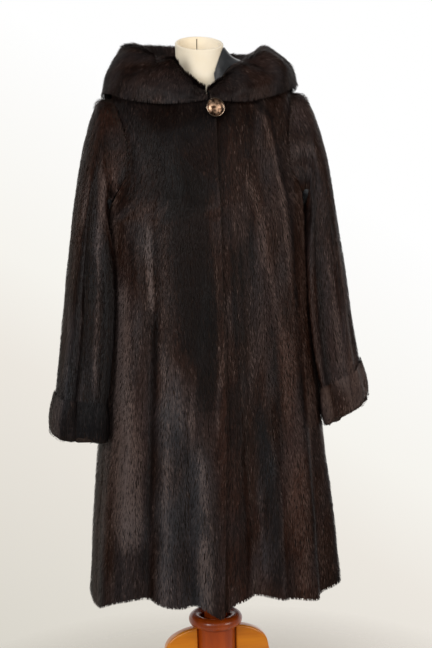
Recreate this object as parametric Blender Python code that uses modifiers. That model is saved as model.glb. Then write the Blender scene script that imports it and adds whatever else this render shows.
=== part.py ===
"""Mink fur coat with its hood laid down, on a limbless dress form with a wooden stand.

Metres, +Z up, the front faces -Y and the wearer's left is at +X. The origin is on the floor,
under the middle of the part. An azimuth is in degrees round the upright axis: 0 at the front,
90 at the wearer's left, 180 at the back.

Every cloth piece is a wall between an outer and an inner grid of points. The coat's body is
one surface through a few rings, from the neckline over the shoulders down to the hem. The
panels are cut from it, and the sleeves, cuffs, hood and form are worked out from its points.
"""

import math
from collections import namedtuple

import bmesh
import bpy
import numpy as np

COLLECTION = "fur_coat_on_dress_form"

# ---------------------------------------------------------------- driving dimensions
FUR_WALL = 0.010          # skin and pile together
HOOD_WALL = 0.009
LINING_WALL = 0.002
SEAM = 0.0003             # gap between two pieces at a seam
LAID_GAP = 0.0006         # gap between a piece and the one that it lies on
LAP_GAP = 0.0030          # looser gap between the two fronts, whose folds differ a little
ARMHOLE_GAP = 0.0012      # gap all round between the armhole's edge and the sleeve
LAP_START = -50.0         # azimuth where the right front begins to stand out over the left
LAP_BLEND = 18.0

BODY_Y = 0.010            # the body's axis lies a little behind the origin
NORMAL_STEP_ROUND = 0.8   # steps for a normal, in degrees and on the ring scale
NORMAL_STEP_DOWN = 0.02
HEM_WAVE_START = 7.0      # ring from which the hem's lobes pull on the surface

ARMHOLE_TOP = 3.0         # on the coat's ring scale: the shoulder point
ARMHOLE_BOTTOM = 5.0      # the underarm
ARMHOLE_HALF_ANGLE = 27.0
ARMHOLE_ROUNDNESS = 0.85  # under 1 the opening is fuller than a plain arc
ARMHOLE_STEPS = 10
ARMHOLE_CROWDING = 0.6    # 1 crowds its rows at both ends, 0 spaces them evenly
SHOULDER_ROWS = (0.0, 0.6, 1.2, 1.8, 2.4)
PARTING = 6.8             # each panel is two solids, parted here so that collision follows it
SLEEVE_PARTING = 7        # so is each sleeve, halfway from this row to the next one
UPPER_ROWS = (5.6, 6.2)   # rows between the armholes and the parting
SKIRT_ROWS = (7.4, 7.9, 8.3, 8.7, 9.0)

FRONT_RIGHT_COLUMNS = 18
FRONT_LEFT_COLUMNS = 20
BACK_COLUMNS = 34

UNDERARM_RING = 5         # the first ring that is level all round
SLEEVE_HEAD_PUFF = 0.008  # the sleeve head stands this far out of its armhole
SLEEVE_HEAD_FOLD = 0.009  # depth of the upright fold between the head and the body
HEAD_FOLD_WIDTH = 40.0
FRONT_CREASE_TURN = 90.0  # where the sleeve's two creases run, in degrees from its outer line
BACK_CREASE_TURN = 288.0
BACK_CREASE_SHARE = 0.6
CREASE_WIDTH = 15.0
CUFF_ROWS = 4             # rings of the sleeve that the cuff lies on
CUFF_DROP = 0.004         # the cuff's fold hangs this far below the sleeve's end
HOOD_COLUMNS = 20
HOOD_SECTION_STEPS = 9
HOOD_OPEN_ANGLE = 2.0     # half of the gap between the two halves at the throat

BUTTON_RADIUS = 0.020
BUTTON_HEIGHT = 0.009
BUTTON_AZIMUTH = 6.0
BUTTON_RING = 0.83
BUTTON_TILT = 14.0        # its face looks up a little
BUTTON_STEPS = 24
SHANK_RADIUS = 0.0035
SHANK_LENGTH = 0.011
SHANK_LIFT = 0.0008       # clears the slanting front at the upper side of the shank's end

NECK_RADIUS = 0.050
NECK_WALL = 0.005
NECK_FLARE = 0.0015
NECK_BASE_Z = 1.400
NECK_TOP_Z = 1.514
NECK_TILT = 16.0          # the open top is cut at a slant, lower at the front
NECK_FLARE_END = 0.25     # share of its height where the flared foot ends
FORM_BASE_Z = 0.780
FORM_COLUMNS = 28
FORM_SQUARENESS = 2.1
FORM_EASE = 0.010         # room between the form and the coat at the chest and the back

POLE_RADIUS = 0.025
CAP_RADIUS = 0.058
CAP_TOP_Z = 0.278
CAP_BOTTOM_Z = 0.251
CAP_RIM = 0.0125          # from the cap's outside to the middle of its round rim
CAP_RIM_STEPS = 8
CUP_DEPTH = 0.016
CUP_FLOOR_RADIUS = 0.035
COLUMN_RADIUS = 0.042
COLUMN_BOTTOM_Z = 0.050
COLUMN_CHAMFER = 0.010
BOARD_THICKNESS = 0.026
BOARD_BEVEL = 0.004
BOARD_TOE = 0.006         # the toe's upright end lies this far past the last upper point
BOARD_TOE_DROP = 0.008
POLE_STEPS = 20
TURNED_STEPS = 28

# ---------------------------------------------------------------- tables
# The rings of the coat's body. front and back are depths from the axis, and squareness is the
# exponent of the section: 2 is an ellipse.
Ring = namedtuple("Ring", "half_width front back z_front z_side z_back squareness")
RINGS = (
    Ring(0.070, 0.064, 0.062, 1.403, 1.446, 1.452, 2.3),    # 0 neckline
    Ring(0.110, 0.090, 0.086, 1.366, 1.438, 1.414, 2.3),    # 1 collar bone
    Ring(0.150, 0.108, 0.104, 1.318, 1.427, 1.364, 2.3),    # 2 middle of the shoulder
    Ring(0.186, 0.122, 0.118, 1.264, 1.411, 1.302, 2.3),    # 3 shoulder point
    Ring(0.198, 0.133, 0.130, 1.214, 1.290, 1.234, 2.6),    # 4 middle of the armhole
    Ring(0.205, 0.141, 0.138, 1.165, 1.165, 1.165, 3.2),    # 5 underarm
    Ring(0.213, 0.150, 0.152, 0.960, 0.960, 0.960, 3.3),    # 6 waist
    Ring(0.232, 0.162, 0.170, 0.755, 0.755, 0.755, 3.1),    # 7 hip
    Ring(0.258, 0.176, 0.190, 0.550, 0.550, 0.550, 2.8),    # 8 thigh
    Ring(0.275, 0.186, 0.204, 0.352, 0.352, 0.352, 2.6),    # 9 hem
)

# The height of the hem round the coat: it dips at the front corner and in soft lobes.
HEM_AZIMUTHS = (-180, -165, -148, -130, -110, -90, -73, -58, -42, -28, -19, -6, 5, 19, 34, 54,
                70, 90, 108, 126, 142, 160, 180)
HEM_HEIGHTS = (0.344, 0.354, 0.342, 0.352, 0.346, 0.338, 0.341, 0.368, 0.374, 0.360, 0.366,
               0.333, 0.361, 0.369, 0.358, 0.342, 0.356, 0.348, 0.340, 0.352, 0.341, 0.351, 0.344)

# Long soft folds. Each runs from the hem up to its top; a ridge stands out, a trough goes in.
Fold = namedtuple("Fold", "azimuth drift top depth width")
FOLDS = (
    Fold(-68, 4, 0.95, 0.009, 6),
    Fold(-57, 6, 1.12, 0.011, 6),
    Fold(-49, 4, 1.18, -0.016, 5),
    Fold(-37, 2, 0.98, 0.012, 6),
    Fold(-26, 0, 0.80, -0.010, 5),
    Fold(-14, 1, 0.85, 0.010, 6),
    Fold(9, 2, 0.90, 0.008, 6),
    Fold(20, -3, 1.16, -0.014, 5),
    Fold(31, -2, 1.25, 0.013, 6),
    Fold(41, -2, 0.95, -0.010, 5),
    Fold(50, 0, 1.05, 0.012, 6),
    Fold(59, -3, 0.98, -0.012, 5),
    Fold(70, -2, 0.85, 0.009, 6),
    Fold(104, 2, 0.95, 0.010, 7),
    Fold(116, 1, 1.05, -0.013, 6),
    Fold(129, -2, 1.15, 0.013, 7),
    Fold(143, 0, 0.95, -0.011, 6),
    Fold(157, 1, 1.20, 0.014, 7),
    Fold(171, 0, 1.05, -0.012, 6),
    Fold(186, -1, 1.15, 0.012, 7),
    Fold(200, 2, 1.22, -0.014, 6),
    Fold(213, 1, 1.00, 0.012, 7),
    Fold(227, -2, 1.12, -0.012, 6),
    Fold(241, 0, 1.05, 0.013, 7),
    Fold(254, 2, 0.90, -0.010, 6),
)

# Where the right front ends, and how far the left one runs on under it, by ring.
EDGE_RINGS = (0, 1, 2, 5, 7, 9)
RIGHT_EDGE = (24, 10, 6, 4, 2, -4)
LEFT_EDGE = (-20, -20, -22, -24, -24, -26)

# The sleeve's outer and inner lines, seen from the front, from the shoulder to the wrist.
# x is away from the coat's middle. depth is half of the size from front to back. squareness
# is the exponent of the half of the section that lies by the body.
Sleeve = namedtuple("Sleeve",
                    "outer_x outer_z inner_x inner_z depth middle_y crease squareness")
SLEEVE = (
    Sleeve(0.224, 1.389, 0.2090, 1.159, 0.088, 0.012, 0.000, 2.2),
    Sleeve(0.240, 1.349, 0.2090, 1.154, 0.087, 0.010, 0.000, 2.3),
    Sleeve(0.255, 1.295, 0.2092, 1.146, 0.086, 0.006, 0.002, 2.5),
    Sleeve(0.266, 1.237, 0.2094, 1.134, 0.084, 0.001, 0.005, 2.8),
    Sleeve(0.275, 1.180, 0.2098, 1.112, 0.082, -0.005, 0.008, 3.2),
    Sleeve(0.284, 1.112, 0.2108, 1.078, 0.080, -0.011, 0.011, 3.7),
    Sleeve(0.295, 1.038, 0.2130, 1.020, 0.078, -0.017, 0.013, 4.2),
    Sleeve(0.306, 0.962, 0.2172, 0.945, 0.076, -0.022, 0.014, 4.5),
    Sleeve(0.317, 0.890, 0.2242, 0.872, 0.074, -0.026, 0.014, 4.5),
    Sleeve(0.328, 0.828, 0.2322, 0.810, 0.072, -0.029, 0.014, 4.5),
    Sleeve(0.333, 0.794, 0.2412, 0.776, 0.071, -0.030, 0.013, 4.5),
    Sleeve(0.337, 0.767, 0.2436, 0.750, 0.071, -0.031, 0.012, 4.5),
    Sleeve(0.340, 0.742, 0.2466, 0.725, 0.071, -0.032, 0.011, 4.5),
    Sleeve(0.341, 0.720, 0.2492, 0.704, 0.070, -0.033, 0.010, 4.5),
)
# The wearer's left sleeve hangs a little higher: its outer line more than its inner one.
SLEEVE_SHORTENING = {1: (0.900, 0.995), -1: (1.0, 1.0)}
# How far each sleeve's outer line swings out from that, by height.
SPREAD_HEIGHTS = (0.70, 0.80, 0.90, 1.00, 1.15, 1.30, 1.38)
SLEEVE_SPREAD = {1: (-0.008, -0.008, -0.006, -0.001, 0.003, 0.006, 0.005),
                 -1: (0.000, 0.002, 0.005, 0.006, 0.005, 0.000, 0.000)}
# From the cuff's upper edge to its fold, one for each of its rings.
CUFF_THICKNESS = (0.004, 0.0075, 0.0085, 0.0075, 0.004)

# The hood's roll, by azimuth: the seam where the satin ends, the ridge, the widest line and
# the foot. Radii are from the neck's axis.
Roll = namedtuple("Roll", "azimuth seam_r seam_z ridge_r ridge_z side_r side_z foot_r foot_z")
HOOD = (
    Roll(-180, 0.086, 1.440, 0.126, 1.500, 0.186, 1.365, 0.147, 1.240),
    Roll(-150, 0.086, 1.446, 0.133, 1.508, 0.190, 1.390, 0.158, 1.262),
    Roll(-120, 0.088, 1.454, 0.142, 1.512, 0.192, 1.440, 0.186, 1.347),
    Roll(-90, 0.090, 1.462, 0.149, 1.515, 0.187, 1.474, 0.205, 1.424),
    Roll(-65, 0.080, 1.452, 0.120, 1.496, 0.166, 1.456, 0.172, 1.412),
    Roll(-45, 0.070, 1.442, 0.098, 1.482, 0.136, 1.442, 0.134, 1.404),
    Roll(-22, 0.060, 1.424, 0.080, 1.446, 0.107, 1.426, 0.105, 1.405),
    Roll(0, 0.056, 1.410, 0.069, 1.425, 0.092, 1.418, 0.092, 1.408),
    Roll(24, 0.061, 1.432, 0.082, 1.444, 0.107, 1.426, 0.103, 1.404),
    Roll(45, 0.076, 1.468, 0.102, 1.460, 0.136, 1.436, 0.132, 1.403),
    Roll(62, 0.092, 1.478, 0.124, 1.477, 0.164, 1.450, 0.166, 1.414),
    Roll(90, 0.098, 1.470, 0.137, 1.503, 0.190, 1.470, 0.207, 1.426),
    Roll(120, 0.090, 1.456, 0.138, 1.487, 0.191, 1.430, 0.186, 1.347),
    Roll(150, 0.086, 1.446, 0.131, 1.489, 0.190, 1.385, 0.158, 1.262),
    Roll(180, 0.086, 1.440, 0.126, 1.500, 0.186, 1.365, 0.147, 1.240),
)
# How high the satin stands against the form's neck.
LINING_AZIMUTHS = (-160, -120, -90, -45, -24, 0, 24, 34, 45, 60, 90, 120, 160, 200)
LINING_HEIGHTS = (1.480, 1.470, 1.466, 1.452, 1.438, 1.420, 1.452, 1.472, 1.488, 1.502, 1.499,
                  1.494, 1.486, 1.480)
LINING_START = 24.0       # the satin narrows away towards the throat
LINING_COLUMNS = 30
LINING_NECK_GAP = 0.0004
LINING_SEAM_INSET = 0.003 # the satin ends this far inside the fur's seam, and this far below
LINING_SEAM_DROP = 0.004
LINING_SAG = 0.006
LINING_SAG_PLACE = 0.4    # share of the way from the neck to the seam

# The button's section: shares of its radius and height, from its middle to its back.
BUTTON_PROFILE = ((0.0, 1.0), (0.45, 0.92), (0.76, 0.56), (0.84, 0.52), (0.92, 0.68),
                  (1.0, 0.45), (0.96, 0.10), (0.85, 0.0))

# The form's own sections, below the shoulders that carry the coat.
Section = namedtuple("Section", "z half_width front back")
FORM = (
    Section(1.290, 0.160, 0.092, 0.096),
    Section(1.210, 0.158, 0.108, 0.094),
    Section(1.100, 0.140, 0.102, 0.084),
    Section(1.000, 0.126, 0.088, 0.080),
    Section(0.900, 0.148, 0.100, 0.098),
    Section(0.820, 0.164, 0.108, 0.108),
    Section(FORM_BASE_Z, 0.160, 0.104, 0.104),
)
FORM_SHOULDER_RINGS = (0.35, 0.8, 1.3, 1.8, 2.3)

# One board of the stand, seen from its side: the curved edges above and below, both from the
# column to the foot. x is the distance from the column's axis.
SIDE_BOARD = (((0.0425, 0.249), (0.070, 0.243), (0.096, 0.231), (0.112, 0.213), (0.119, 0.180),
               (0.128, 0.125), (0.160, 0.077), (0.205, 0.048), (0.258, 0.034)),
              ((0.0425, 0.062), (0.095, 0.046), (0.135, 0.020), (0.172, 0.000)))
LONG_BOARD = (((0.0425, 0.165), (0.070, 0.160), (0.095, 0.146), (0.118, 0.118), (0.150, 0.080),
               (0.195, 0.050), (0.248, 0.034)),
              ((0.0425, 0.062), (0.095, 0.046), (0.135, 0.020), (0.170, 0.000)))
BOARD_EDGE_STEPS = 2      # straight steps between two points of a board's upper edge


# ---------------------------------------------------------------- small helpers
def curve_through(xs, ys, x):
    """The height at x of a smooth curve through the points (xs, ys)."""
    xs, ys = np.asarray(xs, float), np.asarray(ys, float)
    slopes = np.gradient(ys, xs)
    x = min(max(x, xs[0]), xs[-1])
    i = min(int(np.searchsorted(xs, x, side="right")) - 1, len(xs) - 2)
    span = xs[i + 1] - xs[i]
    t = (x - xs[i]) / span
    return float((2 * t**3 - 3 * t**2 + 1) * ys[i] + (t**3 - 2 * t**2 + t) * span * slopes[i]
                 + (3 * t**2 - 2 * t**3) * ys[i + 1] + (t**3 - t**2) * span * slopes[i + 1])


def ease(x):
    """0 below 0, 1 above 1, smooth between."""
    x = min(max(x, 0.0), 1.0)
    return x * x * (3 - 2 * x)


def spread(start, end, count):
    """Evenly spaced values, both ends among them."""
    return [start + (end - start) * j / count for j in range(count + 1)]


def turn_within(azimuth):
    """The same azimuth between -180 and 180."""
    return (azimuth + 180.0) % 360.0 - 180.0


def unit(vector):
    return vector / np.linalg.norm(vector)


def polar(radius, azimuth, z, y_axis=BODY_Y):
    """A point at a radius from the upright axis."""
    a = math.radians(azimuth)
    return np.array((radius * math.sin(a), y_axis - radius * math.cos(a), z))


def oval_radius(azimuth, half_width, front, back, squareness):
    """Radius of a rounded section that is wider than deep."""
    s, c = math.sin(math.radians(azimuth)), math.cos(math.radians(azimuth))
    depth = front if c > 0 else back
    total = abs(s / half_width) ** squareness + abs(c / depth) ** squareness
    return total ** (-1.0 / squareness)


def grid_normals(grid, closed):
    """Unit normals of a grid of points, by differences along its rows and columns."""
    rows = np.gradient(grid, axis=0)
    if closed:
        columns = np.roll(grid, -1, axis=1) - np.roll(grid, 1, axis=1)
    else:
        columns = np.gradient(grid, axis=1)
    normals = np.cross(rows, columns)
    return normals / np.linalg.norm(normals, axis=2, keepdims=True)


def without_turn(normals, azimuth):
    """Normals laid into the upright plane at an azimuth, so that two halves meet flat."""
    a = math.radians(azimuth)
    across = np.array((math.cos(a), math.sin(a), 0.0))
    flat = normals - np.outer(normals @ across, across)
    return flat / np.linalg.norm(flat, axis=1, keepdims=True)


# ---------------------------------------------------------------- mesh builders
def new_material(name, colour, roughness, metallic=0.0):
    material = bpy.data.materials.new(name)
    material.use_nodes = True
    shader = material.node_tree.nodes["Principled BSDF"]
    shader.inputs["Base Color"].default_value = (*colour, 1.0)
    shader.inputs["Roughness"].default_value = roughness
    shader.inputs["Metallic"].default_value = metallic
    material.diffuse_color = (*colour, 1.0)
    return material


def add_object(name, data, material, collection):
    obj = bpy.data.objects.new(name, data)
    data.materials.append(material)
    collection.objects.link(obj)
    return obj


def mesh_object(name, mesh_builder, material, collection):
    """An object from a bmesh, with its faces turned outwards."""
    bmesh.ops.recalc_face_normals(mesh_builder, faces=mesh_builder.faces)
    mesh = bpy.data.meshes.new(name)
    mesh_builder.to_mesh(mesh)
    mesh_builder.free()
    mesh.shade_smooth()
    mesh.set_sharp_from_angle(angle=math.radians(50))
    return add_object(name, mesh, material, collection)


def wall(name, outer, inner, closed, material, collection):
    """A wall between two grids of points. A closed one is a tube round its columns."""
    rows, columns = outer.shape[:2]
    build = bmesh.new()
    sides = [[[build.verts.new(point) for point in row] for row in grid]
             for grid in (outer, inner)]
    last = columns if closed else columns - 1
    for side in sides:
        for i in range(rows - 1):
            for j in range(last):
                k = (j + 1) % columns
                build.faces.new((side[i][j], side[i][k], side[i + 1][k], side[i + 1][j]))
    for i in (0, rows - 1):
        for j in range(last):
            k = (j + 1) % columns
            build.faces.new((sides[0][i][j], sides[0][i][k], sides[1][i][k], sides[1][i][j]))
    if not closed:
        for j in (0, columns - 1):
            for i in range(rows - 1):
                build.faces.new((sides[0][i][j], sides[0][i + 1][j],
                                 sides[1][i + 1][j], sides[1][i][j]))
    return mesh_object(name, build, material, collection)


def lofted_solid(name, rings, material, collection):
    """A closed solid through rings of points, with a flat fan at each end."""
    build = bmesh.new()
    loops = [[build.verts.new(point) for point in ring] for ring in rings]
    count = len(loops[0])
    for lower, upper in zip(loops, loops[1:]):
        for j in range(count):
            k = (j + 1) % count
            build.faces.new((lower[j], lower[k], upper[k], upper[j]))
    for loop in (loops[0], loops[-1]):
        build.faces.new(loop)
    return mesh_object(name, build, material, collection)


def turned(name, profile, material, collection, steps=TURNED_STEPS):
    """A turned solid: a profile from the top, down its outer side, to the bottom."""
    mesh = bpy.data.meshes.new(name)
    mesh.from_pydata([(r, 0.0, z) for r, z in profile],
                     [(i, i + 1) for i in range(len(profile) - 1)], [])
    obj = add_object(name, mesh, material, collection)
    screw = obj.modifiers.new("turn", "SCREW")
    screw.axis = "Z"
    screw.steps = steps
    screw.render_steps = steps
    screw.use_merge_vertices = True
    screw.merge_threshold = 0.0001
    screw.use_smooth_shade = True
    return obj


def round_corner(centre_r, centre_z, radius, start, end):
    """Points of an arc in a turned profile. Angles are from +r towards +z."""
    angles = [math.radians(a) for a in spread(start, end, CAP_RIM_STEPS)]
    return [(centre_r + radius * math.cos(a), centre_z + radius * math.sin(a)) for a in angles]


# ---------------------------------------------------------------- the coat's body
def fold_height(azimuth, z):
    """How far the folds move the surface out at one place."""
    total = 0.0
    for fold in FOLDS:
        rise = ease((fold.top - z) / (fold.top - RINGS[-1].z_side))
        middle = fold.azimuth + fold.drift * (1.0 - rise)
        away = turn_within(azimuth - middle) / fold.width
        total += fold.depth * rise * math.exp(-away * away)
    return total


def ring_at(v):
    """The ring's sizes at a place on the ring scale."""
    scale = range(len(RINGS))
    return Ring(*(curve_through(scale, column, v) for column in zip(*RINGS)))


def body_point(azimuth, v):
    """A point of the coat's outer surface, before anything laps over it."""
    ring = ring_at(v)
    c = math.cos(math.radians(azimuth))
    z_end = ring.z_front if c > 0 else ring.z_back
    z = ring.z_side + (z_end - ring.z_side) * c * c
    hem = curve_through(HEM_AZIMUTHS, HEM_HEIGHTS, turn_within(azimuth))
    share = ease((v - HEM_WAVE_START) / (len(RINGS) - 1 - HEM_WAVE_START))
    z += (hem - RINGS[-1].z_side) * share
    radius = oval_radius(azimuth, ring.half_width, ring.front, ring.back, ring.squareness)
    return polar(radius + fold_height(azimuth, z), azimuth, z)


def body_normal(azimuth, v):
    """The outward normal of the coat's surface."""
    low, high = max(v - NORMAL_STEP_DOWN, 0.0), min(v + NORMAL_STEP_DOWN, len(RINGS) - 1.0)
    across = (body_point(azimuth + NORMAL_STEP_ROUND, v)
              - body_point(azimuth - NORMAL_STEP_ROUND, v))
    down = body_point(azimuth, high) - body_point(azimuth, low)
    return unit(np.cross(down, across))


def lap_lift(azimuth):
    """How far the right front stands out where it laps over the left one."""
    return (FUR_WALL + LAP_GAP) * ease((azimuth - LAP_START) / LAP_BLEND)


def body_walls(azimuths, rows, lifted=False):
    """The outer and inner grids of a panel. azimuths gives each row's list of azimuths."""
    outer, inner = [], []
    for v, row in zip(rows, azimuths):
        points = [body_point(a, v) for a in row]
        normals = [body_normal(a, v) for a in row]
        lifts = [lap_lift(a) if lifted else 0.0 for a in row]
        outer.append([p + n * lift for p, n, lift in zip(points, normals, lifts)])
        inner.append([p + n * (lift - FUR_WALL) for p, n, lift in zip(points, normals, lifts)])
    return np.array(outer), np.array(inner)


def armhole_rows():
    """Rows across the armhole, closer together at its ends."""
    middle = (ARMHOLE_TOP + ARMHOLE_BOTTOM) / 2
    half = (ARMHOLE_BOTTOM - ARMHOLE_TOP) / 2
    rows = []
    for i in range(ARMHOLE_STEPS + 1):
        t = i / ARMHOLE_STEPS
        place = (ARMHOLE_CROWDING * math.cos(math.pi * t)
                 + (1 - ARMHOLE_CROWDING) * (1 - 2 * t))
        rows.append(middle - half * place)
    return rows


def armhole_gap(i):
    """Half of the armhole's opening, in degrees, at one of its rows."""
    return ARMHOLE_HALF_ANGLE * math.sin(math.pi * i / ARMHOLE_STEPS) ** ARMHOLE_ROUNDNESS


def parting_rows():
    """The last row of the upper solids and the first one of the lower solids."""
    high, low = PARTING - NORMAL_STEP_DOWN, PARTING + NORMAL_STEP_DOWN
    rings_per_metre = (low - high) / (ring_at(high).z_side - ring_at(low).z_side)
    return PARTING - SEAM / 2 * rings_per_metre, PARTING + SEAM / 2 * rings_per_metre


def panel_rows():
    """All rows of the body, with how far each stays back from the side seam's line."""
    rows = [(v, 0.0) for v in SHOULDER_ROWS]
    rows += [(v, armhole_gap(i)) for i, v in enumerate(armhole_rows())]
    rows += [(v, 0.0) for v in (*UPPER_ROWS, *parting_rows(), *SKIRT_ROWS)]
    return rows


def seam_angle(v):
    """Half of a seam's gap, in degrees, at one ring."""
    return math.degrees(SEAM / 2 / ring_at(v).half_width)


def build_body(fur, collection):
    """The two fronts and the back, each in two solids. Returns the edges of both armholes."""
    rows = panel_rows()
    levels = [v for v, _ in rows]
    sides = [90.0 - gap - seam_angle(v) for v, gap in rows]
    right_edges = [curve_through(EDGE_RINGS, RIGHT_EDGE, v) for v in levels]
    left_edges = [curve_through(EDGE_RINGS, LEFT_EDGE, v) for v in levels]

    right = [spread(-side, edge, FRONT_RIGHT_COLUMNS) for side, edge in zip(sides, right_edges)]
    left = [spread(edge, side, FRONT_LEFT_COLUMNS) for edge, side in zip(left_edges, sides)]
    back = [spread(180.0 - side, 180.0 + side, BACK_COLUMNS) for side in sides]

    grids = {
        "front_right": body_walls(right, levels, lifted=True),
        "front_left": body_walls(left, levels),
        "back": body_walls(back, levels),
    }
    parting = len(levels) - len(SKIRT_ROWS) - 1
    for name, (outer, inner) in grids.items():
        wall(f"{name}_upper", outer[:parting], inner[:parting], False, fur, collection)
        wall(f"{name}_lower", outer[parting:], inner[parting:], False, fur, collection)
    first = len(SHOULDER_ROWS)
    inside = slice(first, first + ARMHOLE_STEPS + 1)
    return {
        1: [(grids["front_left"][k][inside, -1], grids["back"][k][inside, 0]) for k in (0, 1)],
        -1: [(grids["front_right"][k][inside, 0], grids["back"][k][inside, -1]) for k in (0, 1)],
    }


# ---------------------------------------------------------------- sleeves and cuffs
def armhole_loop(front_edge, back_edge):
    """The armhole's edge as one loop: top, down the front, underarm, up the back."""
    top = (front_edge[0] + back_edge[0]) / 2
    bottom = (front_edge[-1] + back_edge[-1]) / 2
    loop = np.array([top, *front_edge[1:-1], bottom, *back_edge[-2:0:-1]])
    towards = loop.mean(axis=0) - loop
    return loop + towards / np.linalg.norm(towards, axis=1, keepdims=True) * ARMHOLE_GAP


def sleeve_direction(turn, squareness):
    """Shares of the depth and of the width at a turn; the side by the body is fuller."""
    s, c = math.sin(math.radians(turn)), math.cos(math.radians(turn))
    if c < 0:
        power = 2.0 / squareness
        s, c = math.copysign(abs(s) ** power, s), -abs(c) ** power
    return s, c


def body_side(y, z):
    """How far sideways the body's plain oval reaches at a depth and a height."""
    rings = RINGS[:UNDERARM_RING - 1:-1]
    heights = [ring.z_side for ring in rings]
    half_width = np.interp(z, heights, [ring.half_width for ring in rings])
    depth = np.interp(z, heights, [ring.front if y < BODY_Y else ring.back for ring in rings])
    power = np.interp(z, heights, [ring.squareness for ring in rings])
    share = abs(y - BODY_Y) / depth
    return half_width * (1.0 - share ** power) ** (1.0 / power)


def sleeve_ring(side, row, count):
    """One ring of the sleeve: from its outer line round the front to its inner line."""
    outer_share, inner_share = SLEEVE_SHORTENING[side]
    pivot = SLEEVE[0].inner_z
    outer_z = row.outer_z if row.outer_z > pivot else pivot - (pivot - row.outer_z) * outer_share
    inner_z = pivot - (pivot - row.inner_z) * inner_share
    swing = curve_through(SPREAD_HEIGHTS, SLEEVE_SPREAD[side], outer_z)
    outer_line = np.array((row.outer_x + swing, 0.0, outer_z))
    inner_line = np.array((row.inner_x, 0.0, inner_z))
    middle, reach = (outer_line + inner_line) / 2, (outer_line - inner_line) / 2
    ring = []
    for j in range(count):
        turn = 360.0 * j / count
        s, c = sleeve_direction(turn, row.squareness)
        crease = (math.exp(-((turn - FRONT_CREASE_TURN) / CREASE_WIDTH) ** 2)
                  + BACK_CREASE_SHARE * math.exp(-((turn - BACK_CREASE_TURN) / CREASE_WIDTH) ** 2))
        depth = row.depth - row.crease * crease
        point = middle + reach * c + np.array((0.0, row.middle_y - depth * s, 0.0))
        if c < 0:             # this side follows the body's curve
            point[0] += c * (body_side(row.middle_y, point[2]) - body_side(point[1], point[2]))
        ring.append(point * (side, 1, 1))
    return np.array(ring)


def parted(grid, row, share):
    """A grid's rows above its parting and those below it, each share of a row from it."""
    step = grid[row + 1] - grid[row]
    above, below = (grid[row] + step * (0.5 + away) for away in (-share, share))
    return np.array([*grid[:row + 1], above]), np.array([below, *grid[row + 1:]])


def build_sleeve(side, name, edges, fur, collection):
    """A sleeve tube out of its armhole, in two solids, and the turned-up cuff on it."""
    outer_start, inner_start = (armhole_loop(*pair) for pair in edges)
    count = len(outer_start)
    rings = [sleeve_ring(side, row, count) for row in SLEEVE]
    puff = np.array((side * SLEEVE_HEAD_PUFF, 0.0, SLEEVE_HEAD_PUFF))
    bridge = 0.5 * (outer_start + rings[0]) + puff
    bridge[count // 2] = 0.5 * (outer_start[count // 2] + rings[0][count // 2])
    for j in range(count):
        turn = 360.0 * j / count
        away = (abs(turn - 180.0) - 90.0) / HEAD_FOLD_WIDTH
        inwards = 1.0 if turn < 180.0 else -1.0
        bridge[j, 1] += inwards * SLEEVE_HEAD_FOLD * math.exp(-away * away)
    outer = np.array([outer_start, bridge, *rings])
    normals = grid_normals(outer, True) * -side
    inner = outer - normals * FUR_WALL
    inner[0] = inner_start
    steps = np.linalg.norm([grid[SLEEVE_PARTING + 1] - grid[SLEEVE_PARTING]
                            for grid in (outer, inner)], axis=2)
    share = SEAM / 2 / steps.min()
    upper, lower = zip(*(parted(grid, SLEEVE_PARTING, share) for grid in (outer, inner)))
    wall(f"sleeve_{name}_upper", *upper, True, fur, collection)
    wall(f"sleeve_{name}_lower", *lower, True, fur, collection)

    fold = outer[-1:] - np.array((0.0, 0.0, CUFF_DROP))
    cuff_normals = np.concatenate((normals[-CUFF_ROWS:], normals[-1:]))
    under = np.concatenate((outer[-CUFF_ROWS:], fold)) + LAID_GAP * cuff_normals
    outside = under + np.array(CUFF_THICKNESS)[:, None, None] * cuff_normals
    wall(f"cuff_{name}", outside, under, True, fur, collection)


# ---------------------------------------------------------------- hood
def hood_row(azimuth):
    """The roll's sizes at one azimuth."""
    columns = list(zip(*HOOD))
    return Roll(*(curve_through(columns[0], column, azimuth) for column in columns))


def hood_section(azimuth):
    """Points from the satin's seam over the ridge and down to the foot."""
    row = hood_row(azimuth)
    radii = (row.seam_r, row.ridge_r, row.side_r, row.foot_r)
    heights = (row.seam_z, row.ridge_z, row.side_z, row.foot_z)
    places = range(len(radii))
    points = []
    for i in range(HOOD_SECTION_STEPS + 1):
        t = places[-1] * i / HOOD_SECTION_STEPS
        points.append(polar(curve_through(places, radii, t), azimuth,
                            curve_through(places, heights, t)))
    return points


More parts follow.
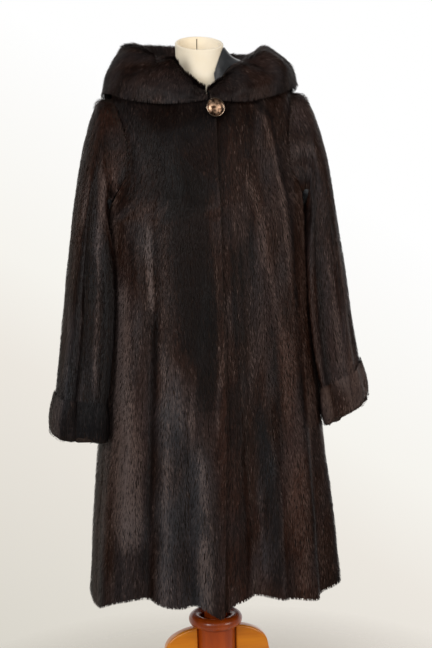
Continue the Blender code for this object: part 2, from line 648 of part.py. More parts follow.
def build_hood(fur, satin, collection):
    """Two fur halves with a seam at the centre back, and the satin round the neck."""
    seam = math.degrees(SEAM / 2 / HOOD[0].ridge_r)
    spans = {
        "hood_right": (-180.0 + seam, -HOOD_OPEN_ANGLE),
        "hood_left": (HOOD_OPEN_ANGLE, 180.0 - seam),
    }
    for name, (start, end) in spans.items():
        columns = [hood_section(a) for a in spread(start, end, HOOD_COLUMNS)]
        outer = np.transpose(np.array(columns), (1, 0, 2))
        normals = grid_normals(outer, False)
        for j, azimuth in ((0, start), (-1, end)):
            normals[:, j] = without_turn(normals[:, j], azimuth)
        wall(name, outer, outer - normals * HOOD_WALL, False, fur, collection)

    neck_side, mouth_side = [], []
    for azimuth in spread(LINING_START, 360.0 - LINING_START, LINING_COLUMNS):
        row = hood_row(turn_within(azimuth))
        place = azimuth if azimuth <= LINING_AZIMUTHS[-1] else azimuth - 360.0
        height = curve_through(LINING_AZIMUTHS, LINING_HEIGHTS, place)
        neck_side.append(polar(NECK_RADIUS + LINING_WALL + LINING_NECK_GAP, azimuth, height))
        mouth_side.append(polar(row.seam_r - LINING_SEAM_INSET, azimuth,
                                row.seam_z - LINING_SEAM_DROP))
    neck_side, mouth_side = np.array(neck_side), np.array(mouth_side)
    middle = neck_side + (mouth_side - neck_side) * LINING_SAG_PLACE
    middle -= np.array((0.0, 0.0, LINING_SAG))
    top = np.array([neck_side, middle, mouth_side])
    normals = grid_normals(top, False)
    wall("hood_lining", top, top - normals * LINING_WALL, False, satin, collection)


# ---------------------------------------------------------------- button
def build_button(metal, collection):
    """A domed button with a raised rim, on a short shank over the right front's edge."""
    surface = (body_point(BUTTON_AZIMUTH, BUTTON_RING)
               + body_normal(BUTTON_AZIMUTH, BUTTON_RING) * lap_lift(BUTTON_AZIMUTH))
    profile = [(r * BUTTON_RADIUS, SHANK_LENGTH + z * BUTTON_HEIGHT) for r, z in BUTTON_PROFILE]
    profile += [(SHANK_RADIUS, SHANK_LENGTH), (SHANK_RADIUS, 0.0), (0.0, 0.0)]
    button = turned("button", profile, metal, collection, steps=BUTTON_STEPS)
    tilt, turn = math.radians(BUTTON_TILT), math.radians(BUTTON_AZIMUTH)
    face = np.array((math.sin(turn) * math.cos(tilt), -math.cos(turn) * math.cos(tilt),
                     math.sin(tilt)))
    button.location = surface + face * SHANK_LIFT
    button.rotation_euler = (math.pi / 2 - tilt, 0.0, turn)


# ---------------------------------------------------------------- dress form
def build_form(cloth, collection):
    """A whole limbless torso whose shoulders carry the coat, and its open, hollow neck."""
    azimuths = [360.0 * j / FORM_COLUMNS for j in range(FORM_COLUMNS)]
    rings = []
    for section in reversed(FORM):
        rings.append([polar(oval_radius(a, section.half_width, section.front, section.back,
                                        FORM_SQUARENESS), a, section.z) for a in azimuths])
    for v in reversed(FORM_SHOULDER_RINGS):
        ring = []
        for a in azimuths:
            away = FUR_WALL + 2 * SEAM + FORM_EASE * math.cos(math.radians(a)) ** 2
            ring.append(body_point(a, v) - body_normal(a, v) * away)
        rings.append(ring)
    rings.append([polar(NECK_RADIUS + NECK_FLARE, a, NECK_BASE_Z - SEAM) for a in azimuths])
    lofted_solid("form_torso", rings, cloth, collection)

    slope = math.tan(math.radians(NECK_TILT))
    levels = ((NECK_FLARE, 0.0), (0.0, NECK_FLARE_END), (0.0, 1.0))
    outer, inner = [], []
    for widening, t in levels:
        for grid, radius in ((outer, NECK_RADIUS + widening),
                             (inner, NECK_RADIUS + widening - NECK_WALL)):
            row = [polar(radius, a, 0.0) for a in azimuths]
            for point in row:
                top = NECK_TOP_Z + (point[1] - BODY_Y) * slope
                point[2] = NECK_BASE_Z + (top - NECK_BASE_Z) * t
            grid.append(row)
    wall("form_neck", np.array(outer), np.array(inner), True, cloth, collection)


# ---------------------------------------------------------------- stand
def board_outline(upper, lower):
    """The upper edge as a smooth line, then the upright toe and the lower edge back."""
    places = range(len(upper))
    xs, zs = zip(*upper)
    steps = (len(upper) - 1) * BOARD_EDGE_STEPS
    outline = [(curve_through(places, xs, i / BOARD_EDGE_STEPS),
                curve_through(places, zs, i / BOARD_EDGE_STEPS)) for i in range(steps + 1)]
    toe = upper[-1][0] + BOARD_TOE
    return outline + [(toe, upper[-1][1] - BOARD_TOE_DROP), (toe, 0.0), *reversed(lower)]


def board(name, edges, turn, wood, collection):
    """A flat board of the stand, upright, with eased edges, turned round the column."""
    outline = board_outline(*edges)
    curve = bpy.data.curves.new(name, "CURVE")
    curve.dimensions = "2D"
    curve.fill_mode = "BOTH"
    curve.extrude = BOARD_THICKNESS / 2
    spline = curve.splines.new("POLY")
    spline.points.add(len(outline) - 1)
    for point, (x, z) in zip(spline.points, outline):
        point.co = (x, z, 0.0, 1.0)
    spline.use_cyclic_u = True
    obj = add_object(name, curve, wood, collection)
    obj.rotation_euler = (math.pi / 2, 0.0, math.radians(turn))
    weld = obj.modifiers.new("weld", "WELD")
    weld.merge_threshold = 0.0001
    bevel = obj.modifiers.new("eased_edges", "BEVEL")
    bevel.width = BOARD_BEVEL
    bevel.segments = 1
    bevel.limit_method = "ANGLE"
    bevel.angle_limit = math.radians(60)
    return obj


def build_stand(wood, collection):
    """The pole, the turned cap and column, and four boards that reach the floor."""
    cup_floor = CAP_TOP_Z - CUP_DEPTH
    half = (CAP_TOP_Z - CAP_BOTTOM_Z) / 2
    cap = [(0.0, cup_floor), (CUP_FLOOR_RADIUS, cup_floor)]
    cap += round_corner(CAP_RADIUS - CAP_RIM, CAP_TOP_Z - half, half, 150, -90)
    cap += [(0.0, CAP_BOTTOM_Z)]
    turned("stand_cap", cap, wood, collection)

    top = CAP_BOTTOM_Z - SEAM
    column = [(0.0, top), (COLUMN_RADIUS, top),
              (COLUMN_RADIUS, COLUMN_BOTTOM_Z + COLUMN_CHAMFER),
              (COLUMN_RADIUS - COLUMN_CHAMFER, COLUMN_BOTTOM_Z), (0.0, COLUMN_BOTTOM_Z)]
    turned("stand_column", column, wood, collection)

    pole_top, pole_bottom = FORM_BASE_Z - SEAM, cup_floor + SEAM
    pole = [(0.0, pole_top), (POLE_RADIUS, pole_top), (POLE_RADIUS, pole_bottom),
            (0.0, pole_bottom)]
    turned("stand_pole", pole, wood, collection, steps=POLE_STEPS)

    for name, edges, turn in (("left", SIDE_BOARD, 0.0), ("back", LONG_BOARD, 90.0),
                              ("right", SIDE_BOARD, 180.0), ("front", LONG_BOARD, 270.0)):
        board(f"stand_board_{name}", edges, turn, wood, collection)


def main():
    for obj in list(bpy.data.objects):
        bpy.data.objects.remove(obj, do_unlink=True)
    collection = bpy.data.collections.new(COLLECTION)
    bpy.context.scene.collection.children.link(collection)

    fur = new_material("mink_fur", (0.018, 0.011, 0.009), 0.55)
    satin = new_material("blue_grey_satin", (0.10, 0.13, 0.16), 0.35)
    metal = new_material("bronzed_metal", (0.22, 0.13, 0.07), 0.35, 0.8)
    cloth = new_material("cream_jersey", (0.82, 0.72, 0.55), 0.85)
    wood = new_material("varnished_wood", (0.50, 0.17, 0.03), 0.25)

    armholes = build_body(fur, collection)
    build_sleeve(1, "left", armholes[1], fur, collection)
    build_sleeve(-1, "right", armholes[-1], fur, collection)
    build_hood(fur, satin, collection)
    build_button(metal, collection)
    build_form(cloth, collection)
    build_stand(wood, collection)


main()
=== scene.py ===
"""Looks of a mink fur coat with its hood laid down, on a dress form with a wooden stand.

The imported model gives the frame, in metres and +Z up. The coat's front faces -Y and the
wearer's left is at +X. An azimuth is in degrees round the body's axis: 0 at the front, 90 at
the wearer's left, 180 at the back.

Each fur panel is a thin skin on a fine grid of points, with a pile of flat tapered hairs that
grow from it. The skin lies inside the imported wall, and the tips reach the wall's outer face.
"""

from __future__ import annotations

import logging
import math
from dataclasses import dataclass, field
from enum import Enum
from functools import cached_property
from typing import NamedTuple, Sequence

import bmesh
import bpy
import numpy as np
from mathutils import Matrix, Vector


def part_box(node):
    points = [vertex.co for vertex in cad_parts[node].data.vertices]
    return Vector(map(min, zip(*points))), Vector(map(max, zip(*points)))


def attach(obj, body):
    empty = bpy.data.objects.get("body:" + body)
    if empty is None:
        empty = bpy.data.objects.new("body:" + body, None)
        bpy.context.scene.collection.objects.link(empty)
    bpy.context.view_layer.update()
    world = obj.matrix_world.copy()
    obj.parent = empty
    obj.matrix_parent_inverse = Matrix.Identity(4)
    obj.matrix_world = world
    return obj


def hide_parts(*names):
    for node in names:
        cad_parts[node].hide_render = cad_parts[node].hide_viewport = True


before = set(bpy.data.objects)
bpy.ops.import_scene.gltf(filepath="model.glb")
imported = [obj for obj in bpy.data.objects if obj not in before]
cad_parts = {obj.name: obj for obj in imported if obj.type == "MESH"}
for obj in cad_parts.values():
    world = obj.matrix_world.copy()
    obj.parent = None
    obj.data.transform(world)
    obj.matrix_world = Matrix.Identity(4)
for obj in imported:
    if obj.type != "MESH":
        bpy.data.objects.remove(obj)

LOG = logging.getLogger("fur_coat")
BODY = "root"
Array = np.ndarray
Material, Mesh, Piece = bpy.types.Material, bpy.types.Mesh, bpy.types.Object
Node, NodeTree, Socket = bpy.types.Node, bpy.types.NodeTree, bpy.types.NodeSocket
Section = Sequence[tuple[float, float]]     # radius and height, or radius and share of it
Stops = Sequence[tuple[float, str]]         # places on a ramp and their colours

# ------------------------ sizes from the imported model
BODY_Y = 0.010            # the body's axis lies a little behind the origin
FUR_WALL = 0.010
HOOD_WALL = 0.009
LAP_GAP = 0.0030
LAP_START = -50.0
LAP_BLEND = 18.0
HEM_WAVE_START = 7.0
ARMHOLE_TOP = 3.0
ARMHOLE_BOTTOM = 5.0
ARMHOLE_HALF_ANGLE = 27.0
SEAM_INSET = 0.0006       # of the sleeve's first ring in the armhole
ARMHOLE_ROUNDNESS = 0.85
ARMHOLE_CROWDING = 0.6
UNDERARM_RING = 5
SLEEVE_HEAD_PUFF = 0.008
SLEEVE_HEAD_FOLD = 0.009
HEAD_FOLD_WIDTH = 40.0
CREASE_TURNS = ((90.0, 1.0), (288.0, 0.6))   # place round the sleeve, share of the depth
CREASE_WIDTH = 15.0
CUFF_DROP = 0.004
CUFF_THICKNESS = (0.004, 0.0075, 0.0085, 0.0075, 0.004)
HOOD_OPEN_ANGLE = 2.0
LAID_GAP = 0.0006
LINING_GAP = 0.0004
NECK_RADIUS = 0.050
NECK_WALL = 0.005
NECK_BASE_Z = 1.400
NECK_TOP_Z = 1.514
NECK_TILT = 16.0


def rows_of(kind: type, table: Sequence[Sequence[float]]) -> tuple:
    """The rows of a table as named tuples of one kind."""
    return tuple(kind(*row) for row in table)


class Ring(NamedTuple):
    """One ring of the coat's body; front and back are depths from its axis."""

    half_width: float
    front: float
    back: float
    z_front: float
    z_side: float
    z_back: float
    squareness: float      # exponent of the section: 2 is an ellipse


RINGS = rows_of(Ring, (
    (0.070, 0.064, 0.062, 1.403, 1.446, 1.452, 2.3),  # 0 neckline
    (0.110, 0.090, 0.086, 1.366, 1.438, 1.414, 2.3),  # 1 collar bone
    (0.150, 0.108, 0.104, 1.318, 1.427, 1.364, 2.3),  # 2 middle of the shoulder
    (0.186, 0.122, 0.118, 1.264, 1.411, 1.302, 2.3),  # 3 shoulder point
    (0.198, 0.133, 0.130, 1.214, 1.290, 1.234, 2.6),  # 4 middle of the armhole
    (0.205, 0.141, 0.138, 1.165, 1.165, 1.165, 3.2),  # 5 underarm
    (0.213, 0.150, 0.152, 0.960, 0.960, 0.960, 3.3),  # 6 waist
    (0.232, 0.162, 0.170, 0.755, 0.755, 0.755, 3.1),  # 7 hip
    (0.258, 0.176, 0.190, 0.550, 0.550, 0.550, 2.8),  # 8 thigh
    (0.275, 0.186, 0.204, 0.352, 0.352, 0.352, 2.6),  # 9 hem
))
HEM_AZIMUTHS = (-180, -165, -148, -130, -110, -90, -73, -58, -42, -28, -19, -6, 5, 19, 34, 54,
                70, 90, 108, 126, 142, 160, 180)
HEM_HEIGHTS = (0.344, 0.354, 0.342, 0.352, 0.346, 0.338, 0.341, 0.368, 0.374, 0.360, 0.366,
               0.333, 0.361, 0.369, 0.358, 0.342, 0.356, 0.348, 0.340, 0.352, 0.341, 0.351, 0.344)
EDGE_RINGS = (0, 1, 2, 5, 7, 9)
RIGHT_EDGE = (24, 10, 6, 4, 2, -4)
LEFT_EDGE = (-20, -20, -22, -24, -24, -26)


class Fold(NamedTuple):
    """A long soft fold up from the hem; a ridge has a positive depth and a trough a negative."""

    azimuth: float
    drift: float
    top: float
    depth: float
    width: float


FOLDS = rows_of(Fold, (
    (-68, 4, 0.95, 0.009, 6), (-57, 6, 1.12, 0.011, 6), (-49, 4, 1.18, -0.016, 5),
    (-37, 2, 0.98, 0.012, 6), (-26, 0, 0.80, -0.010, 5), (-14, 1, 0.85, 0.010, 6),
    (9, 2, 0.90, 0.008, 6), (20, -3, 1.16, -0.014, 5), (31, -2, 1.25, 0.013, 6),
    (41, -2, 0.95, -0.010, 5), (50, 0, 1.05, 0.012, 6), (59, -3, 0.98, -0.012, 5),
    (70, -2, 0.85, 0.009, 6), (104, 2, 0.95, 0.010, 7), (116, 1, 1.05, -0.013, 6),
    (129, -2, 1.15, 0.013, 7), (143, 0, 0.95, -0.011, 6), (157, 1, 1.20, 0.014, 7),
    (171, 0, 1.05, -0.012, 6), (186, -1, 1.15, 0.012, 7), (200, 2, 1.22, -0.014, 6),
    (213, 1, 1.00, 0.012, 7), (227, -2, 1.12, -0.012, 6), (241, 0, 1.05, 0.013, 7),
    (254, 2, 0.90, -0.010, 6),
))


class Crease(NamedTuple):
    """A short trough (negative depth) or ridge, from its top to its bottom."""

    top_azimuth: float
    bottom_azimuth: float
    top: float
    bottom: float
    depth: float
    width: float


BODY_CREASES = rows_of(Crease, (
    (78, 78, 1.26, 0.64, 0.0140, 9.0),  # the sides swell against the sleeves
    (-81, -81, 1.26, 0.64, 0.0150, 9.0), (-46, -50, 1.22, 0.50, -0.0050, 3.0),
    (-54, -49, 1.16, 0.95, 0.0035, 3.0), (-63, -55, 1.02, 0.46, 0.0035, 4.0),
    (-62, -62, 0.74, 0.56, -0.0030, 2.5), (-72, -71, 1.10, 0.72, -0.0035, 4.0),
    (-26, -25, 1.28, 1.18, 0.0030, 3.0), (-25, -25, 0.78, 0.48, -0.0040, 2.5),
    (-39, -32, 0.80, 0.42, 0.0040, 4.0), (-14, -15, 0.80, 0.44, 0.0035, 3.5),
    (-12, -20, 1.12, 0.86, -0.0030, 5.0), (17, 14, 1.00, 0.66, 0.0035, 2.2),
    (26, 22, 0.84, 0.42, -0.0040, 3.0), (33, 29, 0.80, 0.50, 0.0040, 3.5),
    (54, 50, 0.86, 0.44, 0.0035, 4.0), (60, 60, 0.86, 0.37, -0.0030, 2.6),
    (50, 54, 1.40, 0.95, 0.0050, 3.2), (58, 61, 1.38, 0.98, -0.0040, 3.0),
    (30, 33, 1.17, 1.03, -0.0040, 5.0), (40, 36, 1.20, 0.90, 0.0030, 4.0),
    (73, 70, 1.00, 0.60, -0.0030, 3.0), (110, 106, 1.12, 0.66, -0.0040, 3.5),
    (122, 124, 0.90, 0.44, 0.0040, 3.5), (136, 135, 1.24, 0.84, -0.0040, 4.0),
    (149, 151, 0.84, 0.42, 0.0035, 3.0), (164, 165, 1.15, 0.60, -0.0045, 3.0),
    (179, 177, 0.98, 0.50, 0.0035, 3.5), (193, 192, 1.20, 0.78, -0.0040, 3.0),
    (206, 208, 0.86, 0.40, 0.0040, 3.5), (221, 219, 1.10, 0.70, -0.0035, 3.5),
    (234, 236, 0.92, 0.46, 0.0040, 3.5), (248, 250, 1.16, 0.74, -0.0040, 3.5),
    (262, 260, 0.94, 0.52, 0.0030, 3.5),
))


class SleeveRow(NamedTuple):
    """The sleeve's outer and inner lines at one row, seen from the front."""

    outer_x: float
    outer_z: float
    inner_x: float
    inner_z: float
    depth: float
    middle_y: float
    crease: float
    squareness: float      # of the half of its section that lies by the body


SLEEVE_ROWS = rows_of(SleeveRow, (
    (0.224, 1.389, 0.2090, 1.159, 0.088, 0.012, 0.000, 2.2),
    (0.240, 1.349, 0.2090, 1.154, 0.087, 0.010, 0.000, 2.3),
    (0.255, 1.295, 0.2092, 1.146, 0.086, 0.006, 0.002, 2.5),
    (0.266, 1.237, 0.2094, 1.134, 0.084, 0.001, 0.005, 2.8),
    (0.275, 1.180, 0.2098, 1.112, 0.082, -0.005, 0.008, 3.2),
    (0.284, 1.112, 0.2108, 1.078, 0.080, -0.011, 0.011, 3.7),
    (0.295, 1.038, 0.2130, 1.020, 0.078, -0.017, 0.013, 4.2),
    (0.306, 0.962, 0.2172, 0.945, 0.076, -0.022, 0.014, 4.5),
    (0.317, 0.890, 0.2242, 0.872, 0.074, -0.026, 0.014, 4.5),
    (0.328, 0.828, 0.2322, 0.810, 0.072, -0.029, 0.014, 4.5),
    (0.333, 0.794, 0.2412, 0.776, 0.071, -0.030, 0.013, 4.5),
    (0.337, 0.767, 0.2436, 0.750, 0.071, -0.031, 0.012, 4.5),
    (0.340, 0.742, 0.2466, 0.725, 0.071, -0.032, 0.011, 4.5),
    (0.341, 0.720, 0.2492, 0.704, 0.070, -0.033, 0.010, 4.5),
))
SPREAD_HEIGHTS = (0.70, 0.80, 0.90, 1.00, 1.15, 1.30, 1.38)


class Roll(NamedTuple):
    """The laid-down hood at one azimuth: satin seam, ridge, widest line and foot."""

    azimuth: float
    seam_r: float
    seam_z: float
    ridge_r: float
    ridge_z: float
    side_r: float
    side_z: float
    foot_r: float
    foot_z: float


HOOD_ROLLS = rows_of(Roll, (
    (-180, 0.086, 1.440, 0.126, 1.500, 0.186, 1.365, 0.147, 1.240),
    (-150, 0.086, 1.446, 0.133, 1.508, 0.190, 1.390, 0.158, 1.262),
    (-120, 0.088, 1.454, 0.142, 1.512, 0.192, 1.440, 0.186, 1.347),
    (-90, 0.090, 1.462, 0.149, 1.515, 0.187, 1.474, 0.205, 1.424),
    (-65, 0.080, 1.452, 0.120, 1.496, 0.166, 1.456, 0.172, 1.412),
    (-45, 0.070, 1.442, 0.098, 1.482, 0.136, 1.442, 0.134, 1.404),
    (-22, 0.060, 1.424, 0.080, 1.446, 0.107, 1.426, 0.105, 1.405),
    (0, 0.056, 1.410, 0.069, 1.425, 0.092, 1.418, 0.092, 1.408),
    (24, 0.061, 1.432, 0.082, 1.444, 0.107, 1.426, 0.103, 1.404),
    (45, 0.076, 1.468, 0.102, 1.460, 0.136, 1.436, 0.132, 1.403),
    (62, 0.092, 1.478, 0.124, 1.477, 0.164, 1.450, 0.166, 1.414),
    (90, 0.098, 1.470, 0.137, 1.503, 0.190, 1.470, 0.207, 1.426),
    (120, 0.090, 1.456, 0.138, 1.487, 0.191, 1.430, 0.186, 1.347),
    (150, 0.086, 1.446, 0.131, 1.489, 0.190, 1.385, 0.158, 1.262),
    (180, 0.086, 1.440, 0.126, 1.500, 0.186, 1.365, 0.147, 1.240),
))
LINING_AZIMUTHS = (-160, -120, -90, -45, -24, 0, 24, 34, 45, 60, 90, 120, 160, 200)
LINING_HEIGHTS = (1.480, 1.470, 1.466, 1.452, 1.438, 1.420, 1.452, 1.472, 1.488, 1.502, 1.499,
                  1.494, 1.486, 1.480)
SIDE_BOARD = (((0.0425, 0.249), (0.070, 0.243), (0.096, 0.231), (0.112, 0.213), (0.119, 0.180),
               (0.128, 0.125), (0.160, 0.077), (0.205, 0.048), (0.258, 0.034)),
              ((0.0425, 0.062), (0.095, 0.046), (0.135, 0.020), (0.172, 0.000)))
LONG_BOARD = (((0.0425, 0.165), (0.070, 0.160), (0.095, 0.146), (0.118, 0.118), (0.150, 0.080),
               (0.195, 0.050), (0.248, 0.034)),
              ((0.0425, 0.062), (0.095, 0.046), (0.135, 0.020), (0.170, 0.000)))


# ------------------------ curves, noise and grids
class SmoothCurve:
    """A smooth line through points, read at many places at once."""

    def __init__(self, xs: Sequence[float], ys: Sequence | Array) -> None:
        """Stores the points and the slopes between them.

        Args:
            xs: Where the points lie along the line.
            ys: Their values, or one row of values for each.
        """
        self.xs = np.asarray(xs, float)
        self.ys = np.asarray(ys, float)
        self.slopes = np.gradient(self.ys, self.xs, axis=0)

    def __call__(self, x: Array | float) -> Array:
        """Reads the line.

        Args:
            x: The places, each held within the line's ends.

        Returns:
            One value for each place, or one row where the points are rows.
        """
        x = np.clip(np.asarray(x, float), self.xs[0], self.xs[-1])
        i = np.clip(np.searchsorted(self.xs, x, side="right") - 1, 0, len(self.xs) - 2)
        span = self.xs[i + 1] - self.xs[i]
        t = (x - self.xs[i]) / span
        extra = (1,) * (self.ys.ndim - 1)
        t, span = t.reshape(t.shape + extra), span.reshape(span.shape + extra)
        return ((2 * t**3 - 3 * t**2 + 1) * self.ys[i]
                + (t**3 - 2 * t**2 + t) * span * self.slopes[i]
                + (3 * t**2 - 2 * t**3) * self.ys[i + 1]
                + (t**3 - t**2) * span * self.slopes[i + 1])


class Drift:
    """Smooth noise between -1 and 1 over a panel's own metres."""

    CELLS = 64      # after this many it starts again

    def __init__(self, rng: np.random.Generator, across: float, down: float) -> None:
        """Keeps a table of random values on cells of that size.

        Args:
            rng: Where the values come from.
            across: The width of a cell, in metres.
            down: Its length, in metres.
        """
        self.across, self.down = across, down
        self.values = rng.uniform(-1.0, 1.0, (self.CELLS, self.CELLS))

    def __call__(self, x: Array, y: Array) -> Array:
        """Reads the noise.

        Args:
            x: Metres across the panel.
            y: Metres down it.

        Returns:
            The noise at each place.
        """
        n, v = self.CELLS, self.values
        gx, gy = x / self.across + n, y / self.down + n
        i, j = np.floor(gx).astype(int), np.floor(gy).astype(int)
        f, g = ease(gx - i), ease(gy - j)
        low = v[i % n, j % n] * (1 - f) + v[(i + 1) % n, j % n] * f
        high = v[i % n, (j + 1) % n] * (1 - f) + v[(i + 1) % n, (j + 1) % n] * f
        return low * (1 - g) + high * g


def ease(x: Array | float) -> Array:
    """0 below 0, 1 above 1, smooth between."""
    x = np.clip(x, 0.0, 1.0)
    return x * x * (3 - 2 * x)


def unit(vectors: Array) -> Array:
    """The same directions, one metre long."""
    return vectors / np.maximum(np.linalg.norm(vectors, axis=-1, keepdims=True), 1e-12)


def polar(radius: Array, azimuth: Array, z: Array) -> Array:
    """Points at a radius from the body's upright axis.

    Args:
        radius: Metres from the axis.
        azimuth: Degrees round it.
        z: Metres up it.

    Returns:
        One point for each.
    """
    a = np.radians(azimuth)
    radius, a, z = np.broadcast_arrays(radius, a, z)
    return np.stack((radius * np.sin(a), BODY_Y - radius * np.cos(a), z), axis=-1)


def turn_within(azimuth: Array) -> Array:
    """The same azimuths between -180 and 180."""
    return (azimuth + 180.0) % 360.0 - 180.0


def grid_normals(grid: Array, closed: bool) -> Array:
    """Unit normals of a grid of points: rows cross columns.

    Args:
        grid: Rows of points.
        closed: Whether its rows are rings.

    Returns:
        One normal for each point.
    """
    rows = np.gradient(grid, axis=0)
    if closed:
        columns = np.roll(grid, -1, axis=1) - np.roll(grid, 1, axis=1)
    else:
        columns = np.gradient(grid, axis=1)
    return unit(np.cross(rows, columns))


def finer_rows(grid: Array, count: int) -> Array:
    """A grid with this many rows, on smooth lines through the old rows."""
    return SmoothCurve(range(len(grid)), grid)(np.linspace(0.0, len(grid) - 1, count))


def across_band(band: Crease | Streak, azimuth: Array, z: Array,
                wrapped: bool = True) -> tuple[Array, Array]:
    """How places lie in a band that runs from its top to its bottom.

    Args:
        band: The crease or the streak.
        azimuth: The places' azimuths, or their turn round a sleeve.
        z: Their heights.
        wrapped: Whether the band reaches over the place where the azimuths start again.

    Returns:
        How far down the band each is, from 0 to 1, and its weight across the band.
    """
    t = np.clip((band.top - z) / (band.top - band.bottom), 0.0, 1.0)
    away = azimuth - (band.top_azimuth + (band.bottom_azimuth - band.top_azimuth) * t)
    away = (turn_within(away) if wrapped else away) / band.width
    return t, np.exp(-away * away)


def crease_height(creases: Sequence[Crease], azimuth: Array, z: Array, power: float,
                  wrapped: bool = True) -> Array:
    """How far some creases move a surface out; a lower power gives blunter ends.

    Args:
        creases: The creases.
        azimuth: As in across_band.
        z: Heights.
        power: How pointed the ends of a crease are.
        wrapped: As in across_band.

    Returns:
        The height at each place.
    """
    height = np.zeros(np.broadcast(azimuth, z).shape)
    for crease in creases:
        t, weight = across_band(crease, azimuth, z, wrapped)
        height += crease.depth * weight * np.sin(math.pi * t) ** power
    return height


def wall_faces(rows: int, columns: int, closed: bool) -> list[tuple[int, ...]]:
    """Faces of a closed wall between two grids, the outer one's points first.

    Args:
        rows: Rows of each grid.
        columns: Columns of each grid.
        closed: Whether the rows are rings.

    Returns:
        The faces, as point numbers.
    """
    count = rows * columns
    last = columns if closed else columns - 1

    def at(side: int, i: int, j: int) -> int:
        """The number of one grid's point in one row and column."""
        return side * count + i * columns + j % columns

    faces = []
    for i in range(rows - 1):
        for j in range(last):
            faces.append((at(0, i, j), at(0, i + 1, j), at(0, i + 1, j + 1), at(0, i, j + 1)))
            faces.append((at(1, i, j), at(1, i, j + 1), at(1, i + 1, j + 1), at(1, i + 1, j)))
    for j in range(last):
        faces.append((at(0, 0, j), at(0, 0, j + 1), at(1, 0, j + 1), at(1, 0, j)))
        end = rows - 1
        faces.append((at(0, end, j), at(1, end, j), at(1, end, j + 1), at(0, end, j + 1)))
    if not closed:
        for i in range(rows - 1):
            end = columns - 1
            faces.append((at(0, i, 0), at(1, i, 0), at(1, i + 1, 0), at(0, i + 1, 0)))
            faces.append((at(0, i, end), at(0, i + 1, end), at(1, i + 1, end), at(1, i, end)))
    return faces


# ------------------------ colours, nodes and finishes
MM_PER_M = 1000.0


def linear(code: str) -> tuple[float, float, float, float]:
    """An sRGB hex colour as the linear values that a shader takes.

    Args:
        code: The colour, as #rrggbb.

    Returns:
        Red, green, blue and 1.
    """
    parts = [int(code[i:i + 2], 16) / 255 for i in (1, 3, 5)]
    values = [p / 12.92 if p <= 0.04045 else ((p + 0.055) / 1.055) ** 2.4 for p in parts]
    return (*values, 1.0)


def feed(tree: NodeTree, node: Node, inputs: dict) -> None:
    """Sets a node's sockets by name or number; a socket as a value is linked.

    Args:
        tree: The node tree.
        node: The node.
        inputs: The values or sockets, by socket.
    """
    for name, value in inputs.items():
        if isinstance(value, Socket):
            tree.links.new(value, node.inputs[name])
        else:
            node.inputs[name].default_value = value


def add_node(tree: NodeTree, kind: str, settings: dict | None = None,
             inputs: dict | None = None, stops: Stops = ()) -> Node:
    """Adds one node.

    Args:
        tree: The node tree.
        kind: The node's type name.
        settings: Its properties.
        inputs: Its sockets, as feed takes them.
        stops: A colour ramp's places and colours.

    Returns:
        The new node.
    """
    node = tree.nodes.new(kind)
    for name, value in (settings or {}).items():
        setattr(node, name, value)
    feed(tree, node, inputs or {})
    if stops:
        elements = node.color_ramp.elements
        while len(elements) < len(stops):
            elements.new(0.5)
        for element, (place, code) in zip(elements, stops):
            element.position = place
            element.color = linear(code)
    return node


class Surface:
    """A material in the making: its node tree, its main shader and its places."""

    def __init__(self, name: str) -> None:
        """Starts the material with its main shader alone.

        Args:
            name: The material's name.
        """
        self.material = bpy.data.materials.new(name)
        self.material.use_nodes = True
        self.tree = self.material.node_tree
        self.shader = self.tree.nodes["Principled BSDF"]

    @cached_property
    def place(self) -> Socket:
        """The place on the object, in metres."""
        return self.add("ShaderNodeTexCoord").outputs["Object"]

    def add(self, kind: str, settings: dict | None = None, inputs: dict | None = None,
            stops: Stops = ()) -> Node:
        """Adds one node to this material."""
        return add_node(self.tree, kind, settings, inputs, stops)

    def clouds(self, noise: dict, stops: Stops) -> tuple[Socket, Socket]:
        """A colour that follows a noise.

        Args:
            noise: The noise's sockets; it lies on the object's own places if none is given.
            stops: The colours and their places on the ramp.

        Returns:
            The colour, and the noise that it follows.
        """
        cloud = self.add("ShaderNodeTexNoise", {}, {"Vector": self.place, **noise})
        ramp = self.add("ShaderNodeValToRGB", {}, {0: cloud.outputs[0]}, stops)
        return ramp.outputs["Color"], cloud.outputs[0]

    def finish(self, inputs: dict) -> Material:
        """Feeds the main shader and returns the material."""
        feed(self.tree, self.shader, inputs)
        return self.material


@dataclass(frozen=True)
class MinkPile:
    """Mink guard hair, natural dark brown: glossy, so that each lock throws its own light."""

    dark: str = "#0b0605"
    brown: str = "#22140d"
    # The light end of the ramp also gives the painted highlights of lit ridges and glinting hairs.
    light: str = "#6b5850"
    warm: str = "#42251a"
    # Blue-grey: a painted sheen of the cool light, as well as greyer fur.
    cool: str = "#484b50"
    roughness: float = 0.48
    specular: float = 0.13

    def build(self) -> Material:
        """Makes the hairs' material, which reads each hair's own tone.

        Returns:
            The material.
        """
        pile = Surface("mink_guard_hair")
        tone = pile.add("ShaderNodeAttribute", {"attribute_name": "pile"})
        parts = pile.add("ShaderNodeSeparateColor", {}, {0: tone.outputs["Color"]})
        ramp = pile.add("ShaderNodeValToRGB", {}, {0: parts.outputs[0]},
                        ((0.0, self.dark), (0.42, self.brown), (1.0, self.light)))
        colour = ramp.outputs["Color"]
        for share, tint in ((parts.outputs[1], self.warm), (parts.outputs[2], self.cool)):
            mix = pile.add("ShaderNodeMix", {"data_type": "RGBA"},
                           {0: share, 6: colour, 7: linear(tint)})
            colour = mix.outputs[2]
        return pile.finish({"Base Color": colour, "Roughness": self.roughness,
                            "Specular IOR Level": self.specular})


